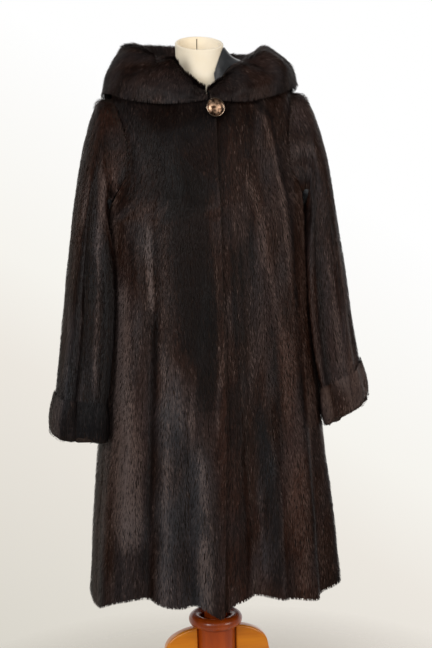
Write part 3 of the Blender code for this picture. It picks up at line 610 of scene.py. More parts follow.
@dataclass(frozen=True)
class Underfur:
    """The dense matt underfur that shows between the guard hairs."""

    shadow: str = "#17100c"
    brown: str = "#33261f"
    streak_mm: float = 2.5    # real underfur is far finer; this is as fine as shows
    stretch: float = 6.0      # its streaks are this much longer than wide
    roughness: float = 0.85

    def build(self) -> Material:
        """Makes the underfur's material, with streaks that run down the nap.

        Returns:
            The material.
        """
        underfur = Surface("mink_underfur")
        scale = MM_PER_M / self.streak_mm
        drawn = underfur.add("ShaderNodeMapping", {},
                             {0: underfur.place, 3: (scale, scale, scale / self.stretch)})
        colour, _ = underfur.clouds({"Vector": drawn.outputs[0], "Scale": 1.0, "Detail": 2.0},
                                    ((0.35, self.shadow), (0.7, self.brown)))
        return underfur.finish({"Base Color": colour, "Roughness": self.roughness,
                                "Specular IOR Level": 0.2})


@dataclass(frozen=True)
class LiningSatin:
    """Blue-grey acetate satin, woven so that its long floats throw a soft silky light."""

    colour: str = "#17191d"
    deep: str = "#0f1114"
    cloud_mm: float = 45.45   # the silk's broad patches of light
    rib_mm: float = 6.91      # a satin's threads are far finer; a rib of them just shows
    wave_turn: float = 20.0   # radians that a wave texture turns for each unit
    roughness: float = 0.46

    def build(self) -> Material:
        """Makes the satin's material.

        Returns:
            The material.
        """
        satin = Surface("acetate_satin")
        colour, _ = satin.clouds({"Scale": MM_PER_M / self.cloud_mm, "Detail": 3.0},
                                 ((0.3, self.deep), (0.7, self.colour)))
        ribs = satin.add("ShaderNodeTexWave", {"bands_direction": "Z"},
                         {"Vector": satin.place, "Distortion": 1.5,
                          "Scale": math.tau / self.wave_turn * MM_PER_M / self.rib_mm})
        bump = satin.add("ShaderNodeBump", {}, {"Height": ribs.outputs[0],
                                                "Strength": 0.12, "Distance": 0.0004})
        return satin.finish({"Base Color": colour, "Normal": bump.outputs[0],
                             "Roughness": self.roughness, "Sheen Weight": 0.25,
                             "Anisotropic": 0.5})


@dataclass(frozen=True)
class FormJersey:
    """Cream cotton jersey stretched over the form's shell: matt, with a fine knit."""

    colour: str = "#faeed8"
    shade: str = "#f6e5c6"
    cloud_mm: float = 71.43   # faint patches where the cover is stretched
    stitch_mm: float = 1.3    # real stitches are about 0.6 mm; this is as fine as shows
    roughness: float = 0.9

    def build(self) -> Material:
        """Makes the cover's material, with its stitches as bump.

        Returns:
            The material.
        """
        jersey = Surface("cotton_jersey")
        colour, _ = jersey.clouds({"Scale": MM_PER_M / self.cloud_mm, "Detail": 4.0},
                                  ((0.30, self.shade), (0.62, self.colour)))
        knit = jersey.add("ShaderNodeTexVoronoi", {},
                          {"Vector": jersey.place, "Scale": MM_PER_M / self.stitch_mm})
        bump = jersey.add("ShaderNodeBump", {}, {"Height": knit.outputs[0],
                                                 "Strength": 0.25, "Distance": 0.0004})
        return jersey.finish({"Base Color": colour, "Normal": bump.outputs[0],
                              "Roughness": self.roughness, "Sheen Weight": 0.2})


@dataclass(frozen=True)
class VarnishedWood:
    """Stained softwood under a thick gloss varnish: wet-looking edges over a soft grain."""

    name: str = "varnished_board"
    light: str = "#e0880f"
    dark: str = "#ca6f05"
    grain_mm: float = 6.0
    grain_share: float = 0.35      # how much of a noise cell one grain fills
    along: tuple[float, float, float] = (0.08, 1.0, 1.0)   # stretch of the grain
    roughness: float = 0.35
    coat: float = 0.5

    def build(self) -> Material:
        """Makes the wood's material, with its grain along one local axis.

        Returns:
            The material.
        """
        wood = Surface(self.name)
        drawn = wood.add("ShaderNodeMapping", {},
                         {0: wood.place, 3: [MM_PER_M / self.grain_mm * a for a in self.along]})
        colour, _ = wood.clouds({"Vector": drawn.outputs[0], "Scale": self.grain_share,
                                 "Detail": 5.0, "Roughness": 0.6, "Distortion": 0.4},
                                ((0.32, self.dark), (0.68, self.light)))
        return wood.finish({"Base Color": colour, "Roughness": self.roughness,
                            "Coat Weight": self.coat, "Coat Roughness": 0.10})


@dataclass(frozen=True)
class ButtonBronze:
    """Cast bronze, darkened in its hollows and rubbed bright on its dome."""

    bright: str = "#b8967c"
    dark: str = "#3a271c"
    dent_mm: float = 4.5           # a noise cell holds a dent and a hump
    roughness: float = 0.42

    def build(self) -> Material:
        """Makes the button face's material, with cast dents.

        Returns:
            The material.
        """
        bronze = Surface("cast_bronze")
        colour, dents = bronze.clouds({"Scale": MM_PER_M / (2 * self.dent_mm), "Detail": 2.0},
                                      ((0.40, self.dark), (0.60, self.bright)))
        bump = bronze.add("ShaderNodeBump", {}, {"Height": dents,
                                                 "Strength": 0.6, "Distance": 0.001})
        return bronze.finish({"Base Color": colour, "Normal": bump.outputs[0],
                              "Metallic": 1.0, "Roughness": self.roughness})


@dataclass(frozen=True)
class ButtonRim:
    """The button's rim: nickel plate, turned and polished, with faint tool marks."""

    bright: str = "#8d7b6b"
    dull: str = "#46392f"
    mark_mm: float = 3.333
    roughness: float = 0.20

    def build(self) -> Material:
        """Makes the rim's material.

        Returns:
            The material.
        """
        rim = Surface("polished_nickel_rim")
        colour, _ = rim.clouds({"Scale": MM_PER_M / self.mark_mm},
                               ((0.3, self.dull), (0.6, self.bright)))
        return rim.finish({"Base Color": colour, "Metallic": 1.0, "Roughness": self.roughness})


@dataclass(frozen=True)
class ShadowGap:
    """Jersey edges in a narrow slit, where little light falls."""

    colour: str = "#4a3a26"
    deep: str = "#2c2114"
    cloud_mm: float = 11.11

    def build(self) -> Material:
        """Makes the slit's material.

        Returns:
            The material.
        """
        slit = Surface("slit_shadow")
        colour, _ = slit.clouds({"Scale": MM_PER_M / self.cloud_mm},
                                ((0.2, self.deep), (0.8, self.colour)))
        return slit.finish({"Base Color": colour, "Roughness": 1.0})


TURNED_WOOD = VarnishedWood(name="varnished_turning", light="#b44b05", dark="#943702",
                            coat=0.3, along=(1.0, 1.0, 0.08))


@dataclass
class Finishes:
    """Every material of the object, each made once."""

    hair: Material = field(default_factory=MinkPile().build)
    underfur: Material = field(default_factory=Underfur().build)
    satin: Material = field(default_factory=LiningSatin().build)
    jersey: Material = field(default_factory=FormJersey().build)
    board: Material = field(default_factory=VarnishedWood().build)
    turned: Material = field(default_factory=TURNED_WOOD.build)
    bronze: Material = field(default_factory=ButtonBronze().build)
    rim: Material = field(default_factory=ButtonRim().build)
    # painted shade for the neck's narrow slit
    slit: Material = field(default_factory=ShadowGap().build)


# ------------------------ pieces
def new_piece(name: str, mesh: Mesh, replaced: Sequence[str] = ()) -> Piece:
    """Puts a mesh in the scene as a piece of the object.

    Args:
        name: The piece's name.
        mesh: Its mesh, in the row frame.
        replaced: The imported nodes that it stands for.

    Returns:
        The new object, riding on the body.
    """
    piece = bpy.data.objects.new(name, mesh)
    bpy.context.scene.collection.objects.link(piece)
    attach(piece, BODY)
    if replaced:
        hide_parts(*replaced)
    LOG.info("%s: %d faces", name, len(mesh.polygons))
    return piece


def dress(mesh: Mesh, materials: Sequence[Material], sharp: float) -> None:
    """Gives a mesh its materials, and smooths all but its sharp edges.

    Args:
        mesh: The mesh.
        materials: Its materials, in the order of its slots.
        sharp: Degrees over which an edge is sharp.
    """
    for material in materials:
        mesh.materials.append(material)
    mesh.shade_smooth()
    mesh.set_sharp_from_angle(angle=math.radians(sharp))
    mesh.update()


def redress(node: str, material: Material) -> None:
    """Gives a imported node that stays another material.

    Args:
        node: The node's name.
        material: Its new material.
    """
    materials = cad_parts[node].data.materials
    materials.clear()
    materials.append(material)


def wall_mesh(name: str, outer: Array, inner: Array, closed: bool, outward: float,
              materials: Sequence[Material]) -> Mesh:
    """A closed wall between two grids; its inner side takes the second material.

    Args:
        name: The mesh's name.
        outer: The outer side's points.
        inner: The inner side's points.
        closed: Whether the rows are rings.
        outward: -1 where the grid runs the other way round.
        materials: One material, or one for each side.

    Returns:
        The mesh.
    """
    rows, columns = outer.shape[:2]
    faces = wall_faces(rows, columns, closed)
    if outward < 0:
        faces = [face[::-1] for face in faces]
    mesh = bpy.data.meshes.new(name)
    mesh.from_pydata(np.concatenate((outer, inner)).reshape(-1, 3), [], faces)
    if len(materials) > 1:
        last = columns if closed else columns - 1
        slots = np.zeros(len(faces), int)
        slots[1:2 * (rows - 1) * last:2] = 1
        mesh.polygons.foreach_set("material_index", slots)
    dress(mesh, materials, 50.0)
    return mesh


def spun(profile: Section, steps: int) -> bmesh.types.BMesh:
    """A section, given as radius and height, turned round the upright axis.

    Args:
        profile: The points of the section.
        steps: Steps in a full turn.

    Returns:
        The surface.
    """
    build = bmesh.new()
    points = [build.verts.new((r, 0.0, z)) for r, z in profile]
    edges = [build.edges.new(pair) for pair in zip(points, points[1:])]
    bmesh.ops.spin(build, geom=points + edges, axis=(0, 0, 1), cent=(0, 0, 0),
                   angle=math.tau, steps=steps, use_merge=True)
    bmesh.ops.remove_doubles(build, verts=build.verts, dist=1e-5)
    return build


def mesh_from(build: bmesh.types.BMesh, name: str, materials: Sequence[Material],
              sharp: float) -> Mesh:
    """The dressed mesh of a build, which is freed.

    Args:
        build: The surface.
        name: The mesh's name.
        materials: Its materials.
        sharp: As in dress.

    Returns:
        The mesh.
    """
    bmesh.ops.recalc_face_normals(build, faces=build.faces)
    mesh = bpy.data.meshes.new(name)
    build.to_mesh(mesh)
    build.free()
    dress(mesh, materials, sharp)
    return mesh


# ------------------------ fur panels
class Nap(Enum):
    """Which way the pile lies: straight down the body, or along the panel's own rows."""

    FALLS = "down the body"
    ALONG_ROWS = "along the rows"


class Streak(NamedTuple):
    """A lighter, darker, warmer or cooler stretch of pile, on the body's azimuths and heights:
    partly the fur's own tone, and partly painted highlights on ridges and painted shade in
    troughs.
    """

    top_azimuth: float
    bottom_azimuth: float
    top: float
    bottom: float
    width: float
    tone: float
    warmth: float = 0.0
    cool: float = 0.0


# Light rows on ridges are painted highlights; dark rows in troughs and shaded places are painted
# shade.
BODY_STREAKS = rows_of(Streak, (
    (-30, -30, 1.46, 1.22, 45.0, -0.56, -0.06, -0.02),  # painted shade over the chest, under the hood
    (25, 25, 1.46, 1.36, 30.0, -0.16, -0.06, 0.04),
    (-50, -48, 1.29, 1.16, 10.0, 0.04, 0.14, -0.10),
    (22, 20, 1.33, 1.13, 11.0, 0.06, 0.14, -0.10),
    (-28, -20, 1.27, 0.90, 9.0, -0.70, -0.04, -0.20),  # near black down the middle
    (-14, -10, 1.24, 0.78, 7.0, -0.54, -0.04, -0.16), (-10, -8, 1.14, 0.92, 6.0, -0.20, -0.06),
    (-47.5, -45, 1.15, 0.98, 2.4, 0.74, 0.00, 0.25),  # painted highlight on a thin ridge
    (-64, -64, 1.22, 1.00, 8.0, 0.04, -0.06, 0.08),
    (-65, -54, 1.02, 0.50, 6.5, 0.90, 0.00, 0.26),  # painted highlight on a broad ridge
    (-43.2, -49.5, 0.99, 0.43, 2.5, -0.50), (-58, -53, 0.50, 0.36, 7.0, -0.14),
    (-57, -55, 0.56, 0.40, 5.0, 0.26, 0.00, 0.10), (-71, -71, 0.76, 0.48, 3.0, 0.24, 0.12, 0.08),
    (-75, -75, 1.26, 0.66, 6.0, 0.50, 0.06, 0.06),  # painted light on the body's sides beside the sleeves
    (72, 73, 1.24, 0.66, 7.0, 0.50, 0.10), (-38, -36, 0.92, 0.78, 3.5, 0.34, -0.08, 0.20),
    (-30, -28, 0.86, 0.74, 3.0, 0.38, -0.04, 0.16),
    (-34, -32, 0.80, 0.34, 9.0, 0.04, -0.20, 0.24),  # greyer low in the middle, with a painted blue-grey sheen
    (-17, -16, 0.70, 0.34, 8.0, 0.04, -0.20, 0.22),
    (-35.5, -33.5, 0.74, 0.50, 3.2, 0.40, 0.06, 0.06),
    (-36, -36, 0.48, 0.36, 5.0, 0.34, 0.00, 0.10),
    (-17, -12.4, 0.70, 0.56, 2.6, 0.46, 0.00, 0.06),
    (-15, -13.5, 0.52, 0.36, 4.0, 0.56, 0.00, 0.12),
    (-21, -22, 0.83, 0.70, 2.4, 0.34, 0.06, 0.06), (-24.5, -26, 0.73, 0.42, 2.6, -0.26),
    (-30, -29, 0.58, 0.49, 3.0, -0.24), (-20, -19, 0.62, 0.50, 2.0, -0.18),
    (-1.8, -1.4, 1.10, 0.84, 1.3, 0.40, 0.00, 0.05),  # painted highlight along the right front's edge
    (-2.5, -5, 0.86, 0.72, 1.6, 0.34, 0.00, 0.08), (8, 8, 0.82, 0.42, 8.0, -0.36, 0.22, -0.06),
    (3.0, 3.0, 0.98, 0.62, 2.2, 0.12, 0.10), (12, 13, 1.20, 0.90, 2.0, -0.26),
    (20, 18, 1.12, 0.80, 1.8, -0.24), (28.5, 27.5, 1.19, 1.07, 2.5, -0.34),
    (29.5, 44, 1.25, 0.90, 3.0, 0.32, 0.06, 0.06), (36, 38, 1.06, 0.74, 2.4, -0.28),
    (45.5, 45, 0.92, 0.36, 4.5, 0.26, 0.30, -0.04), (51.5, 51, 0.84, 0.40, 2.0, -0.26),
    (49.5, 50.5, 1.41, 1.02, 1.5, 0.30, 0.06), (54, 54, 1.40, 0.98, 1.8, -0.32),
    (62, 52, 1.15, 0.74, 2.0, -0.18), (61, 58, 1.10, 0.62, 2.4, 0.22, 0.10),
    (27, 30.2, 0.76, 0.41, 4.0, -0.36, -0.15, 0.14),
    (35, 33.5, 0.62, 0.38, 1.6, 0.22, -0.05, 0.16),
    (23.5, 24.5, 0.62, 0.42, 1.4, 0.18, -0.05, 0.16), (41, 37, 0.68, 0.48, 3.0, 0.16, 0.10),
    (17, 17, 0.45, 0.36, 5.0, 0.20, 0.00, 0.16), (60, 61.5, 0.62, 0.38, 3.0, 0.16, 0.10),
    (106, 108, 1.10, 0.42, 5.0, 0.28, 0.20, 0.10), (118, 119, 1.15, 0.50, 3.0, -0.30),
    (129, 127, 1.00, 0.40, 6.0, 0.26, 0.05, 0.20), (143, 142, 1.05, 0.44, 3.0, -0.26),
    (157, 157, 1.20, 0.50, 5.0, 0.28, 0.10, 0.12), (170, 172, 1.05, 0.50, 4.0, -0.30),
    (186, 185, 1.05, 0.42, 6.0, 0.26, 0.00, 0.22), (199, 200, 1.18, 0.60, 3.0, -0.28),
    (213, 212, 1.00, 0.42, 6.0, 0.28, 0.20), (227, 226, 1.05, 0.52, 4.0, -0.30),
    (241, 240, 1.10, 0.44, 6.0, 0.26, 0.05, 0.20), (258, 258, 0.95, 0.42, 5.0, 0.20, 0.25),
))
# Painted highlights on the sleeves' ridges and painted shade in their troughs, with the fur's own
# warmer and cooler tone.
SLEEVE_STREAKS = rows_of(Streak, (
    (-76, -76, 0.90, 0.66, 14.0, 0.00, -0.14, 0.10),
    (-76, -76, 1.40, 1.10, 14.0, 0.00, 0.14, -0.06),
    (-71, -71.4, 1.26, 0.66, 1.5, -0.50),  # painted shade in the trough down the front
    (-63, -65, 1.28, 0.66, 3.4, -0.60, -0.10), (-77.5, -77.5, 0.78, 0.66, 4.0, 0.30, 0.00, 0.10),
    (-76, -78, 1.26, 0.80, 2.4, 0.16, 0.08), (-68.8, -68.8, 0.80, 0.66, 2.0, -0.30, -0.10),
    (-74, -73.5, 1.26, 1.17, 1.6, 0.80, 0.00, 0.20),
    (-69.3, -69.3, 1.16, 1.04, 1.0, 0.66, 0.00, 0.20),
    (-69.6, -69.8, 1.02, 0.80, 0.7, 0.50, 0.00, 0.12),
    (-68.5, -68.5, 1.27, 1.17, 1.0, 0.60, 0.00, 0.15),
    (-74, -73, 0.98, 0.78, 2.0, 0.22, 0.00, 0.22), (69, 67, 1.26, 0.72, 1.8, -0.46),
    (77, 76, 1.36, 0.84, 1.6, -0.22), (81, 80, 1.30, 0.90, 1.8, 0.18, 0.06, 0.04),
    (70.5, 70.5, 1.10, 0.84, 1.4, 0.40, 0.05, 0.05), (73, 71, 0.86, 0.70, 3.0, 0.40, -0.05, 0.25),
    (73, 72, 1.14, 0.90, 1.6, 0.16, 0.05, 0.05), (84, 82, 1.20, 0.78, 3.5, 0.12, 0.10),
    (-105, -108, 1.20, 0.76, 5.0, -0.20), (108, 106, 1.16, 0.80, 5.0, -0.20),
))
STREAK_FADE = 0.08        # metres over which a streak starts and ends
HOOD_STREAKS = (Streak(0, 0, 1.60, 1.10, 400.0, 0.00, -0.10, 0.06),)     # greyer than the body


@dataclass(frozen=True)
class Habit:
    """How the hairs of a pile differ: in degrees, metres, shares and tones from 0 to 1."""

    locks: int = 4096              # different ones, dealt out by place
    strip_lean: float = 5.0        # away from the middle of the pelt strip
    drift_lean: float = 6.0
    lock_lean: float = 3.5
    hair_lean: float = 2.5
    drift_lift: float = 5.0
    lock_lift: float = 1.5
    hair_lift: float = 3.0
    length: tuple[float, float] = (0.85, 1.12)
    width: tuple[float, float] = (0.7, 1.3)
    roll: float = 10.0             # of a hair round its own length
    low_rise: tuple[float, float] = (8.0, 50.0)      # limits near the root
    high_rise: tuple[float, float] = (-4.0, 30.0)    # limits near the tip
    start_share: float = 0.25      # of a hair's length where the pile starts short
    root_share: float = 0.3        # of the pile's depth at the panel's first row
    root_reach: float = 0.012
    strip_tone: float = 0.12       # the middle of each pelt strip is darker
    strip_width: float = 0.16
    drift_tone: float = 0.14
    lock_tone: float = 0.08
    patch_tone: float = 0.12
    hair_tone: float = 0.08
    # pale hairs: painted glints of light on single guard hairs
    glint_tone: float = 0.34
    base_tone: float = -0.09
    edge_reach: float = 0.012
    warmth: tuple[float, float, float] = (0.22, 0.14, 0.10)    # base, drift and lock
    cool: tuple[float, float] = (0.05, 0.14)                   # base and drift of the blue-grey, partly a painted sheen
    streak_spread: tuple[float, float] = (0.4, 1.6)            # of a light streak's tone
    plain_share: float = 0.4       # of its tint that near-black fur keeps
    plain_tone: float = 0.20       # fur darker than this loses tint


HABIT = Habit()


@dataclass
class Roots:
    """Where the hairs of a panel start."""

    row: Array
    column: Array
    point: Array
    normal: Array
    x: Array              # metres across the panel
    y: Array              # metres down the panel
    share: Array          # of the panel's width
    strip: Array          # place across the pelt strip, from 0 to 1
    lock: Array           # five random values of the lock that each hair is in
    off_middle: Array     # metres from the lock's middle
    room: Array           # metres down to where the tips have to end


@dataclass
class FurPanel:
    """One panel of fur: its reach as a grid of points, its skin, and the pile on it.

    The rows of points run down the nap, and the columns run across it.
    """

    name: str
    points: Array
    closed: bool = False
    outward: float = 1.0
    wall: float = FUR_WALL
    strips: int = 7
    hairs: int = 60000
    seed: int = 1
    nap: Nap = Nap.FALLS
    pile_depth: float = 0.0050
    hair_length: float = 0.0150
    hair_width: float = 0.0013     # real guard hair is 0.1 mm; this is as fine as shows
    channel_depth: float = 0.0014
    channel_width: float = 0.005
    strip_wander: float = 0.16     # of a strip's width
    unevenness: float = 0.0012     # of the skin
    lock_width: float = 0.0050
    lock_length: float = 0.022
    gather: float = 0.12           # how far a hair bends towards the middle of its lock
    rise: float = 16.5             # degrees off the skin near the root
    tip_rise: float = 0.4          # how much of that rise is left near the tip
    fluff: float = 1.0             # unevenness of the pile's lift
    glints: float = 0.09           # share of the hairs made pale: painted glints
    edge_shade: float = 0.0        # how much darker the last centimetre is
    edge_lean: tuple[float, float] = (0.0, 0.0)
    edge_share: float = 0.05       # the strips fade out over this share of the width
    edge_reach: float = 0.005      # how far the tips pass the skin's lower edge
    short_start: float = 0.0       # the first hairs are short over this reach
    softness: float = 0.8          # how far a hair's shading follows the surface under it
    uv_width: float = 0.0006       # of a hair on the bake's map
    tone: float = 0.37
    lined: bool = True
    streaks: Sequence[Streak] = ()

    def __post_init__(self) -> None:
        """Works out the panel's own metres and the reach of its pile."""
        grid = self.points
        normals = grid_normals(grid, self.closed) * self.outward
        if self.closed:
            grid = np.concatenate((grid, grid[:, :1]), axis=1)
            normals = np.concatenate((normals, normals[:, :1]), axis=1)
        across = np.linalg.norm(np.diff(grid, axis=1), axis=2)
        down = np.linalg.norm(np.diff(grid, axis=0), axis=2)
        self.x = np.concatenate((np.zeros((len(grid), 1)), np.cumsum(across, axis=1)), axis=1)
        self.y = np.concatenate((np.zeros((1, grid.shape[1])), np.cumsum(down, axis=0)))
        rng = np.random.default_rng(self.seed)
        wander = Drift(rng, 0.30, 0.22)
        share = np.linspace(0.0, 1.0, grid.shape[1])[None, :]
        self.phase = self.strips * share + self.strip_wander * wander(self.x, self.y)
        width = self.x[:, -1:] / self.strips
        side = np.abs(self.phase - np.round(self.phase)) * width
        sink = self.channel_depth * self.inside(share) * np.exp(-(side / self.channel_width) ** 2)
        sink += self.unevenness * (Drift(rng, 0.030, 0.060)(self.x, self.y) * 0.5 + 0.5)
        self.normals = normals
        self.reach = grid - normals * sink[..., None]

    def inside(self, share: Array) -> Array:
        """1 inside the panel, and down to 0 at its two side edges."""
        return ease(np.minimum(share, 1.0 - share) / self.edge_share)

    @cached_property
    def cell_areas(self) -> Array:
        """The area of each cell of the grid, in square metres.

        Returns:
            One area for each cell.
        """
        a = self.reach[1:, :-1] - self.reach[:-1, :-1]
        b = self.reach[:-1, 1:] - self.reach[:-1, :-1]
        return np.linalg.norm(np.cross(a, b), axis=2)

    def skin(self, finishes: Finishes, slot: str, nodes: Sequence[str]) -> Piece:
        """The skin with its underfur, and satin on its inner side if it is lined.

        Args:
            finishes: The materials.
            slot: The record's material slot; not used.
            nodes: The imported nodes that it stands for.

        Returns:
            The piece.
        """
        end = -1 if self.closed else None
        reach, normals = self.reach[:, :end], self.normals[:, :end]
        outer = reach - normals * self.pile_depth
        inner = self.points - normals * (self.wall - LINING_GAP)
        backing = (finishes.satin,) if self.lined else ()
        mesh = wall_mesh(f"{self.name}_skin", outer, inner, self.closed, self.outward,
                         (finishes.underfur, *backing))
        return new_piece(f"{self.name}_skin", mesh, nodes)

    def at(self, values: Array, row: Array, column: Array) -> Array:
        """Values of the grid between its points.

        Args:
            values: One value or row of values for each point.
            row: Places along the rows.
            column: Places along the columns.

        Returns:
            The values there.
        """
        i = np.minimum(row.astype(int), values.shape[0] - 2)
        j = np.minimum(column.astype(int), values.shape[1] - 2)
        f, g = row - i, column - j
        if values.ndim == 3:
            f, g = f[:, None], g[:, None]
        return ((values[i, j] * (1 - g) + values[i, j + 1] * g) * (1 - f)
                + (values[i + 1, j] * (1 - g) + values[i + 1, j + 1] * g) * f)

    def streak_at(self, root: Array) -> Array:
        """The tone, warmth and coolness that the listed streaks add at some points.

        Args:
            root: The points.

        Returns:
            Three values for each point.
        """
        azimuth = np.degrees(np.arctan2(root[:, 0], BODY_Y - root[:, 1]))
        added = np.zeros((len(root), 3))
        for s in self.streaks:
            _, weight = across_band(s, azimuth, root[:, 2])
            for beyond in (s.top - root[:, 2], root[:, 2] - s.bottom):
                weight = weight * ease(beyond / STREAK_FADE + 0.5)
            added += weight[:, None] * (s.tone, s.warmth, s.cool)
        return added

    def start(self, rng: np.random.Generator) -> Roots:
        """Sows the hairs evenly over the panel, in locks.

        Args:
            rng: Where the random values come from.

        Returns:
            The roots.
        """
        expected = self.cell_areas / self.cell_areas.sum() * self.hairs
        counts = np.floor(expected + rng.random(expected.shape)).astype(int).ravel()
        cells = np.repeat(np.arange(counts.size), counts)
        row = cells // expected.shape[1] + rng.random(cells.size)
        column = cells % expected.shape[1] + rng.random(cells.size)
        x, y = self.at(self.x, row, column), self.at(self.y, row, column)
        phase = self.at(self.phase, row, column)
        across = np.floor(x / self.lock_width).astype(int)
        table = rng.random((HABIT.locks, 5))
        down = np.floor(y / self.lock_length + table[across % HABIT.locks, 0]).astype(int)
        return Roots(
            row=row, column=column, point=self.at(self.reach, row, column),
            normal=unit(self.at(self.normals, row, column)), x=x, y=y,
            share=column / expected.shape[1], strip=phase - np.floor(phase),
            lock=table[(across * 73 + down * 179) % HABIT.locks],
            off_middle=x - (across + 0.5) * self.lock_width,
            room=self.at(self.y[-1:] - self.y, row, column) + self.edge_reach)

    def down_nap(self, roots: Roots) -> Array:
        """The way that the nap runs at each root, along the skin.

        Args:
            roots: The roots.

        Returns:
            One direction for each.
        """
        step = 0.25
        last = self.reach.shape[0] - 1
        ahead = self.at(self.reach, np.minimum(roots.row + step, last), roots.column)
        behind = self.at(self.reach, np.maximum(roots.row - step, 0.0), roots.column)
        down = unit(ahead - behind)
        normal = roots.normal
        if self.nap is Nap.FALLS:
            fall = np.array((0.0, 0.0, -1.0)) + normal * normal[:, 2:]
            down = unit(fall + 0.15 * down)
        return unit(down - normal * (down * normal).sum(axis=1, keepdims=True))

    def bend(self, roots: Roots, rng: np.random.Generator) -> tuple[Array, Array, Array]:
        """Shapes the hairs.

        Args:
            roots: The roots.
            rng: As in start.

        Returns:
            Four points of each hair, its length, and the way that it faces.
        """
        count, x, y, normal = len(roots.row), roots.x, roots.y, roots.normal
        down = self.down_nap(roots)
        across = np.cross(down, normal)
        drift = Drift(rng, 0.035, 0.080)
        lean = (HABIT.strip_lean * (2 * roots.strip - 1) + HABIT.drift_lean * drift(x, y)
                + HABIT.lock_lean * (2 * roots.lock[:, 1] - 1)
                + HABIT.hair_lean * rng.standard_normal(count))
        first, last = self.edge_lean
        lean += first * ease(1 - roots.share / 0.05) + last * ease((roots.share - 0.95) / 0.05)
        swell = Drift(rng, 0.028, 0.050)
        lift = self.fluff * (HABIT.drift_lift * swell(x, y)
                             + HABIT.lock_lift * (2 * roots.lock[:, 2] - 1)
                             + HABIT.hair_lift * rng.standard_normal(count))
        length = np.minimum(self.hair_length * rng.uniform(*HABIT.length, count), roots.room)
        if self.short_start > 0.0:
            length *= HABIT.start_share + (1.0 - HABIT.start_share) * ease(y / self.short_start)

        a = np.radians(lean)[:, None]
        along = np.cos(a) * down + np.sin(a) * across
        sunk = HABIT.root_share + (1.0 - HABIT.root_share) * ease(y / HABIT.root_reach)
        base = roots.point - normal * (self.pile_depth * sunk)[:, None]
        low = np.clip(self.rise + lift, *HABIT.low_rise)
        high = np.clip(self.tip_rise * self.rise + 0.6 * lift, *HABIT.high_rise)
        low, high = np.radians(low)[:, None], np.radians(high)[:, None]
        half = 0.5 * length[:, None]
        gather = (roots.off_middle * -self.gather)[:, None] * across
        middle = base + half * (np.cos(low) * along + np.sin(low) * normal) + 0.4 * gather
        tip = middle + half * (np.cos(high) * along + np.sin(high) * normal) + 0.6 * gather

        roll = np.radians(rng.normal(0.0, HABIT.roll, count))[:, None]
        spine = unit(tip - base)
        flat = unit(np.cross(spine, normal))
        edge = np.cos(roll) * flat + np.sin(roll) * np.cross(spine, flat)
        facing = unit(np.cross(edge, spine) + self.softness * normal)
        edge *= (self.hair_width / 2 * rng.uniform(*HABIT.width, count))[:, None]
        return np.stack((base, middle - edge, middle + edge, tip), axis=1), length, facing

    def shade(self, roots: Roots, rng: np.random.Generator) -> Array:
        """Each hair's tone, warmth and coolness.

        Args:
            roots: The roots.
            rng: As in start.

        Returns:
            Three values from 0 to 1 for each hair.
        """
        count, x, y, lock = len(roots.row), roots.x, roots.y, roots.lock
        middle = np.exp(-((roots.strip - 0.5) / HABIT.strip_width) ** 2) - 0.4
        tone = (self.tone + HABIT.base_tone - HABIT.strip_tone * self.inside(roots.share) * middle)
        tone += HABIT.drift_tone * Drift(rng, 0.035, 0.13)(x, y)
        tone += HABIT.lock_tone * (lock[:, 3] - 0.5)
        tone += HABIT.patch_tone * Drift(rng, 0.010, 0.045)(x, y)
        tone += HABIT.hair_tone * rng.standard_normal(count)
        # painted glints: a share of the hairs is made pale
        tone += HABIT.glint_tone * (rng.random(count) < self.glints)
        tone -= self.edge_shade * ease(1.0 - (roots.room - self.edge_reach) / HABIT.edge_reach)
        base, drift, by_lock = HABIT.warmth
        warmth = base + drift * Drift(rng, 0.060, 0.25)(x, y) + by_lock * (lock[:, 4] - 0.5)
        # blue-grey, partly a painted sheen
        base, drift = HABIT.cool
        cool = base + drift * Drift(rng, 0.030, 0.090)(x, y)
        # The streaks add painted highlights and painted shade as well as tone; a light streak's
        # painted highlight is spread unevenly over its hairs.
        added = self.streak_at(roots.point)
        spread = rng.uniform(*HABIT.streak_spread, count)
        added[:, 0] *= np.where(added[:, 0] > 0.0, spread, 1.0)
        shade = np.stack((tone, warmth, cool), axis=1) + added
        tinted = ease(shade[:, :1] / HABIT.plain_tone)
        shade[:, 1:] *= HABIT.plain_share + (1.0 - HABIT.plain_share) * tinted
        return np.clip(shade, 0.0, 1.0)

    def grow(self) -> tuple[Array, Array, Array, Array]:
        """Grows the pile.

        Returns:
            Four points of each hair, four places on the panel for each, each hair's
            tone, warmth and coolness, and the way each hair faces.
        """
        rng = np.random.default_rng(self.seed + 100)
        roots = self.start(rng)
        points, length, facing = self.bend(roots, rng)
        shade = self.shade(roots, rng)
        place = np.stack((roots.share, roots.row / (self.reach.shape[0] - 1)), axis=1)
        shift = np.stack((np.full(len(place), self.uv_width / self.x[:, -1].max()),
                          length / self.y[-1].max() / 2), axis=1)
        ways = np.array(((0, 0), (-1, 1), (1, 1), (0, 2)), float)
        places = np.clip(place[:, None] + ways[None] * shift[:, None], 0.002, 0.998)
        return points, places, shade, facing

